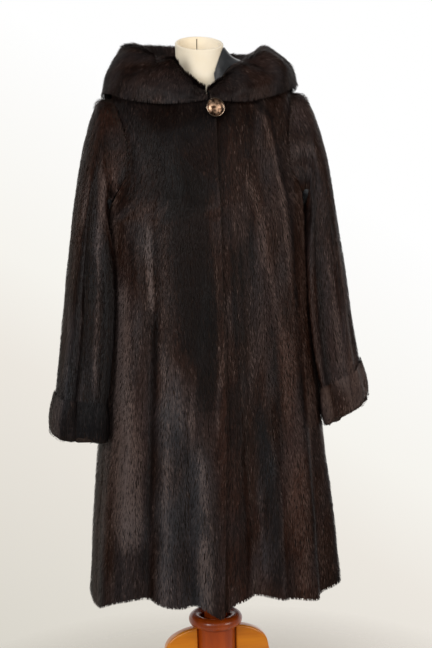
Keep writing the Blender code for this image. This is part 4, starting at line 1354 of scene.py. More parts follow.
    def pile(self, finishes: Finishes, slot: str) -> Piece:
        """The pile as one joined mesh, two triangles for each hair.

        Args:
            finishes: The materials.
            slot: The record's material slot; not used.

        Returns:
            The piece.
        """
        points, places, shade, facing = self.grow()
        count = len(points)
        corners = (np.arange(count)[:, None] * 4 + np.array((0, 2, 1, 1, 2, 3))).ravel()
        mesh = bpy.data.meshes.new(f"{self.name}_pile")
        mesh.vertices.add(count * 4)
        mesh.vertices.foreach_set("co", points.astype(np.float32).ravel())
        mesh.loops.add(count * 6)
        mesh.loops.foreach_set("vertex_index", corners.astype(np.int32))
        mesh.polygons.add(count * 2)
        mesh.polygons.foreach_set("loop_start", np.arange(0, count * 6, 3, dtype=np.int32))
        mesh.update(calc_edges=True)
        uv = mesh.uv_layers.new(name="OFBake")
        uv.data.foreach_set("uv", places.reshape(-1, 2)[corners].astype(np.float32).ravel())
        colours = np.ones((count, 4, 4), np.float32)
        colours[..., :3] = shade[:, None]
        attribute = mesh.attributes.new("pile", "FLOAT_COLOR", "POINT")
        attribute.data.foreach_set("color", colours.ravel())
        mesh.materials.append(finishes.hair)
        mesh.shade_smooth()
        mesh.normals_split_custom_set_from_vertices(np.repeat(facing, 4, axis=0))
        return new_piece(f"{self.name}_pile", mesh)

    def build(self, finishes: Finishes, nodes: Sequence[str], held: str,
              rests_on: Sequence[str]) -> None:
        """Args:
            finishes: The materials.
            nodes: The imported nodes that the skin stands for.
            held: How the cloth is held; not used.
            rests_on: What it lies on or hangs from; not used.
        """
        slot = "mink_fur"
        skin = self.skin(finishes, slot, nodes)
        pile = self.pile(finishes, slot)


# ------------------------ the coat's body
@dataclass
class CoatBody:
    """The two fronts and the back, as one surface through the rings."""

    hem_trim: float = 0.005       # the skin ends this far above the hem, on the ring scale
    shoulder_rows: int = 14
    armhole_rows: int = 25
    skirt_rows: int = 58
    crease_share: float = 0.8     # how much of the creases' depth shows
    columns: tuple[int, int, int] = (50, 56, 96)
    hairs: tuple[int, int, int] = (60000, 60000, 88000)

    def point(self, azimuth: Array, v: Array) -> Array:
        """Points of the coat's outer surface at azimuths and places on the ring scale.

        Args:
            azimuth: Degrees round the body.
            v: Places on the ring scale, 0 at the neck and 9 at the hem.

        Returns:
            The points.
        """
        azimuth, v = np.broadcast_arrays(np.asarray(azimuth, float), np.asarray(v, float))
        rings = SmoothCurve(range(len(RINGS)), np.array(RINGS))(v)
        half_width, front, back, z_front, z_side, z_back, power = np.moveaxis(rings, -1, 0)
        s, c = np.sin(np.radians(azimuth)), np.cos(np.radians(azimuth))
        z = z_side + (np.where(c > 0, z_front, z_back) - z_side) * c * c
        hem = SmoothCurve(HEM_AZIMUTHS, HEM_HEIGHTS)(turn_within(azimuth))
        wave = (v - HEM_WAVE_START) / (len(RINGS) - 1 - HEM_WAVE_START)
        z = z + (hem - RINGS[-1].z_side) * ease(wave)
        depth = np.where(c > 0, front, back)
        radius = (np.abs(s / half_width) ** power + np.abs(c / depth) ** power) ** (-1.0 / power)
        return polar(radius + self.fold_height(azimuth, z), azimuth, z)

    def fold_height(self, azimuth: Array, z: Array) -> Array:
        """How far the folds and creases move the surface out.

        Args:
            azimuth: Degrees round the body.
            z: Heights.

        Returns:
            Metres outwards.
        """
        height = np.zeros(azimuth.shape)
        for fold in FOLDS:
            rise = ease((fold.top - z) / (fold.top - RINGS[-1].z_side))
            middle = fold.azimuth + fold.drift * (1.0 - rise)
            away = turn_within(azimuth - middle) / fold.width
            height += fold.depth * rise * np.exp(-away * away)
        return height + self.crease_share * crease_height(BODY_CREASES, azimuth, z, 0.7)

    def armhole(self, count: int) -> tuple[Array, Array]:
        """The armhole's rows on the ring scale, and half of its opening in degrees.

        Args:
            count: How many rows.

        Returns:
            The rows and the half openings.
        """
        t = np.linspace(0.0, 1.0, count)
        place = ARMHOLE_CROWDING * np.cos(math.pi * t) + (1 - ARMHOLE_CROWDING) * (1 - 2 * t)
        middle, half = (ARMHOLE_TOP + ARMHOLE_BOTTOM) / 2, (ARMHOLE_BOTTOM - ARMHOLE_TOP) / 2
        gap = ARMHOLE_HALF_ANGLE * np.maximum(np.sin(math.pi * t), 0.0) ** ARMHOLE_ROUNDNESS
        return middle - half * place, gap

    def rows(self) -> tuple[Array, Array]:
        """All rows of a panel, and how far each stays back from the side seam's line.

        Returns:
            The rows on the ring scale, and degrees.
        """
        hole, gap = self.armhole(self.armhole_rows)
        top = np.linspace(0.0, ARMHOLE_TOP, self.shoulder_rows, endpoint=False)
        low = np.linspace(ARMHOLE_BOTTOM, len(RINGS) - 1 - self.hem_trim, self.skirt_rows)[1:]
        return np.concatenate((top, hole, low)), np.pad(gap, (len(top), len(low)))

    def panel_points(self, start: Array, end: Array, v: Array, columns: int,
                     lifted: bool) -> Array:
        """The grid of one panel between two edges, given as an azimuth for each row.

        Args:
            start: Each row's first azimuth.
            end: Each row's last azimuth.
            v: Each row's place on the ring scale.
            columns: How many columns.
            lifted: Whether the panel laps over the other front.

        Returns:
            The grid.
        """
        share = np.linspace(0.0, 1.0, columns)[None, :]
        azimuth = start[:, None] + (end - start)[:, None] * share
        points = self.point(azimuth, v[:, None])
        if lifted:
            lift = (FUR_WALL + LAP_GAP) * ease((azimuth - LAP_START) / LAP_BLEND)
            points = points + grid_normals(points, False) * lift[..., None]
        return points

    def armhole_edges(self, side: int, count: int) -> tuple[Array, Array]:
        """The armhole's front and back edges on one side of the body.

        Args:
            side: 1 for the wearer's left, -1 for the right.
            count: How many points.

        Returns:
            The two edges.
        """
        v, gap = self.armhole(count)
        front = self.point(side * (90.0 - gap), v)
        back = self.point(side * (90.0 + gap), v)
        return front, back

    def build(self, finishes: Finishes) -> None:
        """Makes the three panels.

        Args:
            finishes: The materials.
        """
        v, gap = self.rows()
        side = 90.0 - gap
        right_edge = SmoothCurve(EDGE_RINGS, RIGHT_EDGE)(v)
        left_edge = SmoothCurve(EDGE_RINGS, LEFT_EDGE)(v)
        panels = (
            ("front_right", -side, right_edge, True, 7, (38.0, 14.0)),
            ("front_left", left_edge, side, False, 8, (-8.0, -38.0)),
            ("back", 180.0 - side, 180.0 + side, False, 14, (24.0, -24.0)),
        )
        for k, (name, start, end, lifted, strips, leans) in enumerate(panels):
            points = self.panel_points(start, end, v, self.columns[k], lifted)
            FurPanel(name, points, strips=strips, hairs=self.hairs[k], seed=11 + k,
                     edge_lean=leans, streaks=BODY_STREAKS).build(
                         finishes, (f"{name}_upper", f"{name}_lower"), "hung", ("form_torso",))


# ------------------------ sleeves and cuffs
SLEEVE_CREASES = {
    -1: rows_of(Crease, (
        (76, 86, 1.26, 0.98, -0.0085, 8.0), (88, 92, 1.10, 0.62, -0.0110, 8.0),
        (98, 94, 1.16, 0.70, 0.0040, 14.0), (48, 52, 1.12, 0.66, 0.0045, 14.0),
        (150, 140, 1.00, 0.68, -0.0050, 16.0), (262, 270, 1.16, 0.62, -0.0060, 14.0),
        (310, 300, 1.05, 0.66, 0.0040, 16.0),
        (150, 146, 1.22, 0.70, 0.0080, 24.0),  # lies against the body
    )),
    1: rows_of(Crease, (
        (150, 146, 1.22, 0.70, 0.0080, 24.0), (98, 104, 1.32, 1.00, -0.0070, 9.0),
        (102, 106, 1.06, 0.66, -0.0085, 10.0), (74, 80, 1.20, 0.72, 0.0045, 14.0),
        (128, 124, 1.05, 0.70, 0.0035, 14.0), (50, 44, 0.98, 0.66, -0.0050, 12.0),
        (262, 256, 1.14, 0.64, -0.0060, 14.0), (310, 316, 1.02, 0.66, 0.0040, 16.0),
    )),
}


@dataclass
class Sleeve:
    """A straight set-in sleeve with its turned-up cuff."""

    side: int                      # 1 is the wearer's left
    name: str
    shortening: tuple[float, float]    # of the outer and the inner line, below the underarm
    spread: tuple[float, ...]
    armhole_steps: int = 33
    rows: int = 84
    cuff_rows: int = 16
    hairs: int = 42000
    cuff_hairs: int = 11000
    seed: int = 31
    tone: float = 0.40
    cuff_tone: float = 0.42

    def body_side(self, y: Array | float, z: Array) -> Array:
        """How far sideways the body's plain oval reaches at a depth and a height.

        Args:
            y: Depths.
            z: Heights.

        Returns:
            Metres from the middle.
        """
        rings = np.array(RINGS)[:UNDERARM_RING - 1:-1]
        width, front, back, power = (np.interp(z, rings[:, 4], rings[:, k]) for k in (0, 1, 2, 6))
        share = np.abs(y - BODY_Y) / np.where(np.less(y, BODY_Y), front, back)
        return width * (1.0 - share ** power) ** (1.0 / power)

    def ring(self, row: SleeveRow, turn: Array) -> Array:
        """One ring, from the outer line round the front to the inner line and back.

        Args:
            row: Its row of the table.
            turn: Degrees round the sleeve.

        Returns:
            The points.
        """
        pivot = SLEEVE_ROWS[0].inner_z
        outer_share, inner_share = self.shortening
        outer_z = row.outer_z
        if outer_z < pivot:
            outer_z = pivot - (pivot - outer_z) * outer_share
        inner_z = pivot - (pivot - row.inner_z) * inner_share
        swing = float(SmoothCurve(SPREAD_HEIGHTS, self.spread)(outer_z))
        outer = np.array((row.outer_x + swing, 0.0, outer_z))
        inner = np.array((row.inner_x, 0.0, inner_z))
        middle, reach = (outer + inner) / 2, (outer - inner) / 2
        depth = np.full(turn.shape, row.depth)
        for place, share in CREASE_TURNS:
            depth -= share * row.crease * np.exp(-((turn - place) / CREASE_WIDTH) ** 2)
        s, c = np.sin(np.radians(turn)), np.cos(np.radians(turn))
        power = np.where(c < 0, 2.0 / row.squareness, 1.0)
        s, c = np.copysign(np.abs(s) ** power, s), np.copysign(np.abs(c) ** power, c)
        points = middle + c[:, None] * reach
        points[:, 1] += row.middle_y - depth * s
        y, z = points[:, 1], points[:, 2]
        follow = self.body_side(row.middle_y, z) - self.body_side(y, z)
        points[:, 0] += np.minimum(c, 0.0) * follow       # this side follows the body's curve
        return points * (self.side, 1, 1)

    def coarse(self, body: CoatBody) -> Array:
        """The sleeve's rings: its armhole, a bridge, and the rows of its table.

        Args:
            body: The body, whose armhole it starts from.

        Returns:
            The rings.
        """
        front, back = body.armhole_edges(self.side, self.armhole_steps)
        loop = np.concatenate((front, back[-2:0:-1]))
        for at, end in ((0, 0), (self.armhole_steps - 1, -1)):
            loop[at] = (front[end] + back[end]) / 2
        loop = loop + unit(loop.mean(axis=0) - loop) * SEAM_INSET
        count = len(loop)
        turn = 360.0 * np.arange(count) / count
        rings = [self.ring(row, turn) for row in SLEEVE_ROWS]
        puff = np.array((self.side * SLEEVE_HEAD_PUFF, 0.0, SLEEVE_HEAD_PUFF))
        bridge = 0.5 * (loop + rings[0]) + puff
        bridge[count // 2] = 0.5 * (loop[count // 2] + rings[0][count // 2])
        away = (np.abs(turn - 180.0) - 90.0) / HEAD_FOLD_WIDTH
        inwards = np.where(turn < 180.0, 1.0, -1.0)
        bridge[:, 1] += inwards * SLEEVE_HEAD_FOLD * np.exp(-away ** 2)
        return np.array([loop, bridge, *rings])

    def creased(self, grid: Array) -> Array:
        """The same grid with its listed creases.

        Args:
            grid: The grid.

        Returns:
            The creased grid.
        """
        normals = grid_normals(grid, True) * -self.side
        turn = (360.0 * np.arange(grid.shape[1]) / grid.shape[1])[None, :]
        height = crease_height(SLEEVE_CREASES[self.side], turn, grid[..., 2], 0.6, wrapped=False)
        return grid + normals * height[..., None]

    def build(self, body: CoatBody, finishes: Finishes) -> None:
        """Makes the sleeve and its cuff.

        Args:
            body: The body that it is set in.
            finishes: The materials.
        """
        rings = self.coarse(body)
        grid = self.creased(finer_rows(rings, self.rows))
        FurPanel(f"sleeve_{self.name}", grid, closed=True, outward=-self.side, strips=8,
                 hairs=self.hairs, seed=self.seed, tone=self.tone, channel_depth=0.0006,
                 short_start=0.012,
                 streaks=SLEEVE_STREAKS).build(
                     finishes, (f"sleeve_{self.name}_upper", f"sleeve_{self.name}_lower"),
                     "hung", ("form_torso",))

        normals = grid_normals(rings, True) * -self.side
        fold = rings[-1:] - np.array((0.0, 0.0, CUFF_DROP))
        used = np.concatenate((normals[-4:], normals[-1:]))
        under = np.concatenate((rings[-4:], fold)) + LAID_GAP * used
        thickness = np.array(CUFF_THICKNESS)[:, None, None]
        cuff = self.creased(finer_rows(under + thickness * used, self.cuff_rows))
        cuff = cuff[::-1]         # its nap rises
        FurPanel(f"cuff_{self.name}", cuff, closed=True, outward=self.side, strips=9,
                 hairs=self.cuff_hairs, seed=self.seed + 1, wall=0.0042, pile_depth=0.0036,
                 hair_length=0.014, tone=self.cuff_tone, channel_depth=0.0, lined=False,
                 edge_reach=0.012, rise=16.0, short_start=0.014, streaks=SLEEVE_STREAKS,
                 nap=Nap.ALONG_ROWS).build(
                     finishes, (f"cuff_{self.name}",), "folded", (f"sleeve_{self.name}_skin",))


# ------------------------ hood
HOOD_CREASES = (
    # azimuth, width, depth, from and to along the section (0 at the satin, 3 at the foot)
    (-150, 7.0, -0.0050, 0.8, 2.9), (-118, 6.0, 0.0045, 0.5, 2.6),
    (-98, 5.0, -0.0065, 0.6, 2.4), (-78, 6.0, 0.0060, 0.3, 2.2),
    (-66, 3.5, -0.0045, 1.2, 2.9), (-57, 4.0, -0.0095, 0.1, 1.8),
    (-44, 5.0, 0.0070, 0.2, 2.0), (-31, 4.5, -0.0060, 0.7, 2.7),
    (-20, 4.0, 0.0040, 1.2, 2.8), (-13, 3.5, -0.0025, 0.6, 2.2),
    (14, 4.0, 0.0030, 0.6, 2.2), (26, 4.0, -0.0055, 0.6, 2.6),
    (38, 4.0, 0.0045, 1.0, 2.8), (48, 5.0, 0.0050, 0.2, 1.8),
    (60, 4.0, -0.0090, 0.1, 1.9), (73, 4.5, 0.0060, 0.3, 2.2),
    (84, 3.5, -0.0055, 0.8, 2.6), (100, 6.0, 0.0035, 0.6, 2.6),
    (126, 7.0, -0.0050, 0.8, 2.9), (156, 7.0, 0.0035, 0.8, 2.8),
)


@dataclass
class Hood:
    """The wide hood, laid down as a roll, with the satin that shows inside it."""

    rows: int = 36
    columns: int = 72
    hairs: int = 40000
    lining_rows: int = 14
    lining_columns: int = 150
    lining_start: float = 24.0
    lining_wall: float = 0.0020

    def roll(self, azimuth: Array) -> Array:
        """The roll's sizes at some azimuths."""
        table = np.array(HOOD_ROLLS)
        return SmoothCurve(table[:, 0], table)(azimuth)

    def half(self, start: float, end: float) -> Array:
        """The grid of one half: rows from the satin over the ridge to the foot.

        Args:
            start: Its first azimuth.
            end: Its last azimuth.

        Returns:
            The grid.
        """
        azimuth = np.linspace(start, end, self.columns)
        roll = self.roll(azimuth)
        t = np.linspace(0.0, 3.0, self.rows)
        radius = SmoothCurve(range(4), roll[:, 1::2].T)(t)
        z = SmoothCurve(range(4), roll[:, 2::2].T)(t)
        points = polar(radius, azimuth[None, :], z)
        normals = grid_normals(points, False)
        height = np.zeros(points.shape[:2])
        for place, width, depth, first, last in HOOD_CREASES:
            away = (azimuth[None, :] - place) / width
            along = np.clip((t[:, None] - first) / (last - first), 0.0, 1.0)
            height += depth * np.exp(-away * away) * np.sin(math.pi * along)
        return points + normals * height[..., None]

    def build(self, finishes: Finishes) -> None:
        """Makes the two fur halves and the satin.

        Args:
            finishes: The materials.
        """
        halves = (("hood_right", -179.9, -HOOD_OPEN_ANGLE), ("hood_left", HOOD_OPEN_ANGLE, 179.9))
        for k, (name, start, end) in enumerate(halves):
            FurPanel(name, self.half(start, end), wall=HOOD_WALL, strips=7, hairs=self.hairs,
                     seed=51 + k, tone=0.36, channel_depth=0.0006, rise=29.0, fluff=2.1,
                     edge_reach=0.011, edge_shade=0.08, streaks=HOOD_STREAKS,
                     nap=Nap.ALONG_ROWS).build(
                         finishes, (name,), "draped",
                         ("front_right_skin", "front_left_skin", "back_skin"))
        self.lining(finishes)

    def lining(self, finishes: Finishes) -> None:
        """The satin, from the form's neck down into the roll and up to its seam.

        Args:
            finishes: The materials.
        """
        azimuth = np.linspace(self.lining_start, 360.0 - self.lining_start, self.lining_columns)
        roll = self.roll(turn_within(azimuth))
        place = np.where(azimuth <= LINING_AZIMUTHS[-1], azimuth, azimuth - 360.0)
        height = SmoothCurve(LINING_AZIMUTHS, LINING_HEIGHTS)(place)
        neck = polar(np.full(azimuth.shape, NECK_RADIUS + self.lining_wall + LINING_GAP),
                     azimuth, height)
        mouth = polar(roll[:, 1] - 0.003, azimuth, roll[:, 2] - 0.004)
        middle = neck + (mouth - neck) * 0.4 - np.array((0.0, 0.0, 0.006))
        grid = finer_rows(np.array([neck, middle, mouth]), self.lining_rows)
        across = np.linspace(0.0, 1.0, self.lining_rows)[:, None]
        ripple = (0.0016 * np.sin(np.radians(azimuth) * 13.0 + 2.0 * across)
                  + 0.0009 * np.sin(np.radians(azimuth) * 31.0 + 1.0))
        grid = grid + (ripple * np.sin(math.pi * across))[..., None] * np.array((0.0, 0.0, 1.0))
        normals = grid_normals(grid, False)
        mesh = wall_mesh("hood_lining_satin", grid, grid - normals * self.lining_wall, False, 1.0,
                         (finishes.satin,))
        piece = new_piece("hood_lining_satin", mesh, ("hood_lining",))


# ------------------------ button
@dataclass
class Button:
    """One large button: a domed bronze face in a polished rim."""

    radius: float = 0.020
    height: float = 0.009
    azimuth: float = 6.0
    tilt: float = 14.0
    shank_length: float = 0.011
    shank_radius: float = 0.0035
    steps: int = 72
    face: Section = (
        (0.0, 1.0), (0.16, 0.995), (0.32, 0.965), (0.48, 0.90), (0.62, 0.79), (0.72, 0.66),
        (0.775, 0.55))
    rim: Section = (
        (0.79, 0.50), (0.82, 0.52), (0.85, 0.62), (0.885, 0.69), (0.93, 0.69), (0.97, 0.62),
        (1.0, 0.46), (0.995, 0.28), (0.96, 0.10), (0.85, 0.0))

    def build(self, finishes: Finishes) -> None:
        """Turns the button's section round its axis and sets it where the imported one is.

        Args:
            finishes: The materials.
        """
        low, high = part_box("button")
        tilt, turn = math.radians(self.tilt), math.radians(self.azimuth)
        facing = Vector((math.sin(turn) * math.cos(tilt), -math.cos(turn) * math.cos(tilt),
                         math.sin(tilt)))
        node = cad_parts["button"]
        along = [facing.dot(vertex.co) for vertex in node.data.vertices]
        base = (low + high) / 2
        base += facing * (min(along) - facing.dot(base))
        profile = [(r * self.radius, self.shank_length + z * self.height)
                   for r, z in self.face + self.rim]
        profile += [(self.shank_radius, self.shank_length), (self.shank_radius, 0.0), (0.0, 0.0)]
        build = spun(profile, self.steps)
        edge = self.radius * (self.face[-1][0] + self.rim[0][0]) / 2
        for piece_face in build.faces:
            middle = piece_face.calc_center_median()
            on_face = math.hypot(middle.x, middle.y) < edge and middle.z > self.shank_length
            piece_face.material_index = 0 if on_face else 1
        mesh = mesh_from(build, "button_turned", (finishes.bronze, finishes.rim), 40.0)
        mesh.transform(Matrix.Translation(base) @ Matrix.Rotation(turn, 4, "Z")
                       @ Matrix.Rotation(math.pi / 2 - tilt, 4, "X"))
        new_piece("button_turned", mesh, ("button",))


# ------------------------ dress form
@dataclass
class DressForm:
    """The form's jersey-covered torso and its open, hollow neck with a slit at the back."""

    columns: int = 160
    slit_azimuth: float = 176.0
    slit_half_angle: float = 1.6
    slit_depth: float = 0.0022
    rim_steps: int = 8
    rim_share: float = 0.98        # the rim starts to round at this share of the height
    outside: Section = (
        (0.0015, 0.0), (0.0003, 0.12), (0.0, 0.25), (-0.0004, 0.55), (0.0, 0.80), (0.0, 0.965))
    inside: Section = ((0.0, 0.965), (0.0, 0.80), (0.0, 0.5), (0.0, 0.25), (0.0015, 0.0))

    def profile(self) -> list[tuple[float, float]]:
        """The neck's section: radius and share of height, up the outside, over the rim, down.

        Returns:
            The points.
        """
        points = [(NECK_RADIUS + out, share) for out, share in self.outside]
        middle, half = NECK_RADIUS - NECK_WALL / 2, NECK_WALL / 2
        for k in range(self.rim_steps + 1):
            angle = math.pi * k / self.rim_steps
            points.append((middle + math.cos(angle) * half, self.rim_share
                           + (1.0 - self.rim_share) * math.sin(angle)))
        return points + [(NECK_RADIUS - NECK_WALL + out, share) for out, share in self.inside]

    def build(self, finishes: Finishes) -> None:
        """Makes the neck, and dresses the torso.

        Args:
            finishes: The materials.
        """
        redress("form_torso", finishes.jersey)
        azimuth = np.linspace(0.0, 360.0, self.columns, endpoint=False)
        slope = math.tan(math.radians(NECK_TILT))
        rows = []
        profile = self.profile()
        inside_from = len(profile) - len(self.inside)
        for i, (radius, share) in enumerate(profile):
            groove = np.zeros(self.columns)
            if i >= inside_from:
                away = np.abs(azimuth - self.slit_azimuth)
                groove = np.where(away < self.slit_half_angle, self.slit_depth, 0.0)
            points = polar(radius + groove, azimuth, np.zeros(self.columns))
            top = NECK_TOP_Z + (points[:, 1] - BODY_Y) * slope
            points[:, 2] = NECK_BASE_Z + (top - NECK_BASE_Z) * share
            rows.append(points)
        grid = np.array(rows)
        count = len(rows)
        faces, slots = [], []
        for i in range(count):
            for j in range(self.columns):
                k, n = (j + 1) % self.columns, (i + 1) % count
                faces.append((i * self.columns + j, i * self.columns + k,
                              n * self.columns + k, n * self.columns + j))
                near = abs(azimuth[j] + 180.0 / self.columns - self.slit_azimuth)
                # faces in the slit take the painted shade
                slots.append(1 if inside_from <= i < count - 1
                             and near < self.slit_half_angle else 0)
        mesh = bpy.data.meshes.new("form_neck_cover")
        mesh.from_pydata(grid.reshape(-1, 3), [], faces)
        mesh.polygons.foreach_set("material_index", slots)
        dress(mesh, (finishes.jersey, finishes.slit), 60.0)
        new_piece("form_neck_cover", mesh, ("form_neck",))


# ------------------------ stand
@dataclass
class Stand:
    """The varnished stand: a turned cap and column, a pole, and four boards."""

    cap_radius: float = 0.058
    cap_top: float = 0.278
    cap_bottom: float = 0.251
    cap_rim: float = 0.0125
    cup_depth: float = 0.016
    cup_radius: float = 0.035
    column_radius: float = 0.042
    column_bottom: float = 0.050
    column_chamfer: float = 0.010
    eased: float = 0.001           # the column's upper edge
    seam: float = 0.0003
    board_thickness: float = 0.026
    board_bevel: float = 0.006
    bevel_steps: int = 4
    toe: float = 0.006
    toe_drop: float = 0.008
    edge_steps: int = 5
    turned_steps: int = 96

    def turned(self, name: str, profile: Section, node: str, finishes: Finishes) -> None:
        """A turned piece: its section, from the top down its outer side, round the axis.

        Args:
            name: The piece's name.
            profile: Its section.
            node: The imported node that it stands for.
            finishes: The materials.
        """
        mesh = mesh_from(spun(profile, self.turned_steps), name, (finishes.turned,), 40.0)
        new_piece(name, mesh, (node,))

    def board(self, name: str, edges: tuple, turn: float, finishes: Finishes) -> None:
        """A board with rounded edges, turned round the column.

        Args:
            name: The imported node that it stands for.
            edges: Its upper and lower edges, as radius and height.
            turn: Degrees round the column.
            finishes: The materials.
        """
        upper, lower = edges
        line = SmoothCurve(range(len(upper)), np.array(upper))
        outline = [tuple(p) for p in line(np.linspace(0, len(upper) - 1,
                                                      (len(upper) - 1) * self.edge_steps + 1))]
        toe = upper[-1][0] + self.toe
        outline += [(toe, upper[-1][1] - self.toe_drop), (toe, 0.0), *reversed(lower)]
        build = bmesh.new()
        half = self.board_thickness / 2
        face = build.faces.new([build.verts.new((x, -half, z)) for x, z in outline])
        grown = bmesh.ops.extrude_face_region(build, geom=[face])
        moved = [item for item in grown["geom"] if isinstance(item, bmesh.types.BMVert)]
        bmesh.ops.translate(build, verts=moved, vec=(0.0, self.board_thickness, 0.0))
        rounded = [e for e in build.edges if abs(e.verts[0].co.y - e.verts[1].co.y) < 1e-6]
        bmesh.ops.bevel(build, geom=rounded, offset=self.board_bevel, segments=self.bevel_steps,
                        profile=0.5, affect="EDGES", clamp_overlap=True)
        mesh = mesh_from(build, name, (finishes.board,), 35.0)
        piece = new_piece(f"{name}_rounded", mesh, (name,))
        piece.rotation_euler = (0.0, 0.0, math.radians(turn))

    def build(self, finishes: Finishes) -> None:
        """Makes the turned pieces and the boards, and dresses the pole.

        Args:
            finishes: The materials.
        """
        redress("stand_pole", finishes.turned)
        floor = self.cap_top - self.cup_depth
        half = (self.cap_top - self.cap_bottom) / 2
        angles = np.radians(np.linspace(150.0, -90.0, 25))
        cap = [(0.0, floor), (self.cup_radius, floor)]
        cap += [(self.cap_radius - self.cap_rim + half * math.cos(a),
                 self.cap_top - half + half * math.sin(a)) for a in angles]
        cap += [(0.0, self.cap_bottom)]
        self.turned("stand_cap_turned", cap, "stand_cap", finishes)

        top, r, chamfer = self.cap_bottom - self.seam, self.column_radius, self.column_chamfer
        column = [(0.0, top), (r - self.eased, top), (r, top - self.eased),
                  (r, self.column_bottom + chamfer), (r - chamfer, self.column_bottom),
                  (0.0, self.column_bottom)]
        self.turned("stand_column_turned", column, "stand_column", finishes)

        for side, edges, turn in (("left", SIDE_BOARD, 0.0), ("back", LONG_BOARD, 90.0),
                                  ("right", SIDE_BOARD, 180.0), ("front", LONG_BOARD, 270.0)):
            self.board(f"stand_board_{side}", edges, turn, finishes)


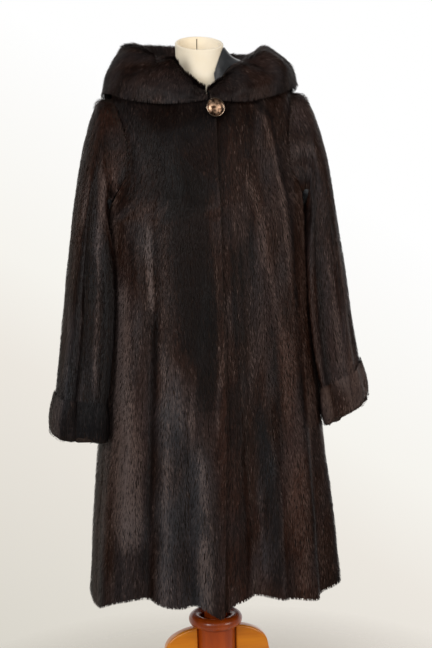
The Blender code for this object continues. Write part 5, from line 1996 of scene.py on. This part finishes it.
# ------------------------ floor, light and camera
@dataclass
class Studio:
    """A pale floor and room, soft lights, and the camera."""

    camera_azimuth: float = -10.0
    camera_distance: float = 3.2
    camera_height: float = 1.5
    camera_pitch: float = 10.2
    camera_roll: float = 1.55
    focal_px: float = 1524.0
    frame_width: int = 432
    frame_height: int = 648
    axis_px: float = 207.6         # where the object's axis crosses the frame's middle row
    sensor_mm: float = 36.0
    floor_radius: float = 0.80
    wall_top: str = "#ffffff"
    wall_high: str = "#f6f4ee"
    wall_middle: str = "#ece7df"
    wall_low: str = "#d9d5cb"
    # the floor's left side carries painted shade
    floor_left: str = "#d2ccc0"
    floor_right: str = "#e8dfd6"
    wall_tilt: float = 0.6         # how much lighter the wall is to one side
    wall_span: tuple[float, float] = (-0.36, 0.06)     # heights of its darkest and lightest
    depth_span: tuple[float, float] = (-0.1, 0.75)     # from the front to the wall
    front_strength: float = 0.16   # the room in front is dimmer than the wall

    def camera(self) -> None:
        """Places the camera."""
        a, p, r = (math.radians(x) for x in (self.camera_azimuth, self.camera_pitch,
                                             self.camera_roll))
        forward = Vector((-math.sin(a) * math.cos(p), math.cos(a) * math.cos(p), -math.sin(p)))
        right = Vector((math.cos(a), math.sin(a), 0.0))
        up = right.cross(forward)
        image_right = right * math.cos(r) - up * math.sin(r)
        image_up = right * math.sin(r) + up * math.cos(r)
        place = Vector((math.sin(a) * self.camera_distance, -math.cos(a) * self.camera_distance,
                        self.camera_height))
        matrix = Matrix((image_right, image_up, -forward)).transposed().to_4x4()
        matrix.translation = place
        data = bpy.data.cameras.new("studio_camera")
        data.sensor_width = self.sensor_mm
        data.lens = self.sensor_mm * self.focal_px / self.frame_height
        data.shift_x = (self.frame_width / 2 - self.axis_px) / self.frame_height
        data.clip_end = 50.0
        camera = bpy.data.objects.new("studio_camera", data)
        camera.matrix_world = matrix
        bpy.context.scene.collection.objects.link(camera)
        bpy.context.scene.camera = camera

    def light(self, name: str, place: tuple[float, float, float], size: tuple[float, float],
              watts: float, colour: tuple[float, float, float]) -> None:
        """A soft panel light that faces the coat.

        Args:
            name: The light's name.
            place: Where it stands.
            size: Its two sides, in metres.
            watts: Its power.
            colour: Its linear colour.
        """
        data = bpy.data.lights.new(name, "AREA")
        data.shape = "RECTANGLE"
        data.size, data.size_y = size
        data.energy = watts
        data.color = colour
        lamp = bpy.data.objects.new(name, data)
        lamp.location = place
        aim = Vector((0.0, 0.0, 0.9)) - Vector(place)
        lamp.rotation_euler = aim.to_track_quat("-Z", "Y").to_euler()
        bpy.context.scene.collection.objects.link(lamp)

    def floor(self) -> None:
        """A pale floor with painted shade towards its left side, that fades out into the room."""
        build = bmesh.new()
        bmesh.ops.create_circle(build, cap_ends=True, segments=96, radius=self.floor_radius)
        paint = Surface("pale_floor")
        distance = paint.add("ShaderNodeVectorMath", {"operation": "LENGTH"}, {0: paint.place})
        fade = paint.add("ShaderNodeMapRange", {},
                         {0: distance.outputs["Value"], 1: self.floor_radius * 0.4,
                          2: self.floor_radius * 0.98, 3: 1.0, 4: 0.0})
        parts = paint.add("ShaderNodeSeparateXYZ", {}, {0: paint.place})
        across = paint.add("ShaderNodeMapRange", {}, {0: parts.outputs[0], 1: -0.5, 2: 0.5})
        ramp = paint.add("ShaderNodeValToRGB", {}, {0: across.outputs[0]},
                         ((0.0, self.floor_left), (1.0, self.floor_right)))
        material = paint.finish({"Base Color": ramp.outputs["Color"], "Alpha": fade.outputs[0],
                                 "Roughness": 0.9})
        mesh = mesh_from(build, "floor", (material,), 60.0)
        floor = bpy.data.objects.new("floor", mesh)
        floor.location.z = -0.0005
        bpy.context.scene.collection.objects.link(floor)

    def room(self) -> None:
        """The pale room round the object, lighter above."""
        world = bpy.data.worlds.new("pale_room")
        world.use_nodes = True
        tree = world.node_tree
        place = add_node(tree, "ShaderNodeTexCoord")
        parts = add_node(tree, "ShaderNodeSeparateXYZ", {}, {0: place.outputs["Generated"]})
        tilted = add_node(tree, "ShaderNodeMath", {"operation": "MULTIPLY_ADD"},
                          {0: parts.outputs[0], 1: self.wall_tilt, 2: parts.outputs[2]})
        low, high = self.wall_span
        height = add_node(tree, "ShaderNodeMapRange", {}, {0: tilted.outputs[0], 1: low, 2: high})
        ramp = add_node(tree, "ShaderNodeValToRGB", {}, {0: height.outputs[0]},
                        ((0.0, self.wall_low), (0.45, self.wall_middle),
                         (0.62, self.wall_high), (1.0, self.wall_top)))
        near, far = self.depth_span
        depth = add_node(tree, "ShaderNodeMapRange", {"interpolation_type": "SMOOTHSTEP"},
                         {0: parts.outputs[1], 1: near, 2: far, 3: self.front_strength, 4: 1.0})
        background = tree.nodes["Background"]
        feed(tree, background, {0: ramp.outputs["Color"], 1: depth.outputs[0]})
        bpy.context.scene.world = world

    def build(self) -> None:
        """Sets up the room, the floor, the lights and the camera."""
        self.room()
        self.floor()
        self.light("key_window", (-2.3, -2.6, 2.2), (1.2, 1.8), 64.0, (0.98, 0.99, 1.0))
        self.light("fill_right", (2.3, -2.4, 1.8), (1.2, 1.8), 45.0, (1.0, 0.96, 0.91))
        self.light("front_top", (-0.5, -3.0, 2.4), (1.6, 1.2), 28.0, (1.0, 0.99, 0.97))
        self.camera()
        bpy.context.scene.view_settings.view_transform = "Standard"


def main() -> None:
    """Builds the coat, the form and the stand, and sets up the studio."""
    logging.basicConfig(level=logging.INFO, format="%(name)s: %(message)s")
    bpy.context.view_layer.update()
    finishes = Finishes()
    body = CoatBody()
    body.build(finishes)
    # The left cuff's lighter tone is partly its own colour and partly a painted highlight on its
    # turned-up fur.
    Sleeve(1, "left", (0.900, 0.995), (-0.008, -0.008, -0.006, -0.001, 0.003, 0.006, 0.005),
           tone=0.44, cuff_tone=0.74, seed=31).build(body, finishes)
    Sleeve(-1, "right", (1.0, 1.0), (0.000, 0.002, 0.005, 0.006, 0.005, 0.000, 0.000),
           tone=0.27, cuff_tone=0.52, seed=41).build(body, finishes)
    Hood().build(finishes)
    Button().build(finishes)
    DressForm().build(finishes)
    Stand().build(finishes)
    Studio().build()


if __name__ == "__main__":
    main()
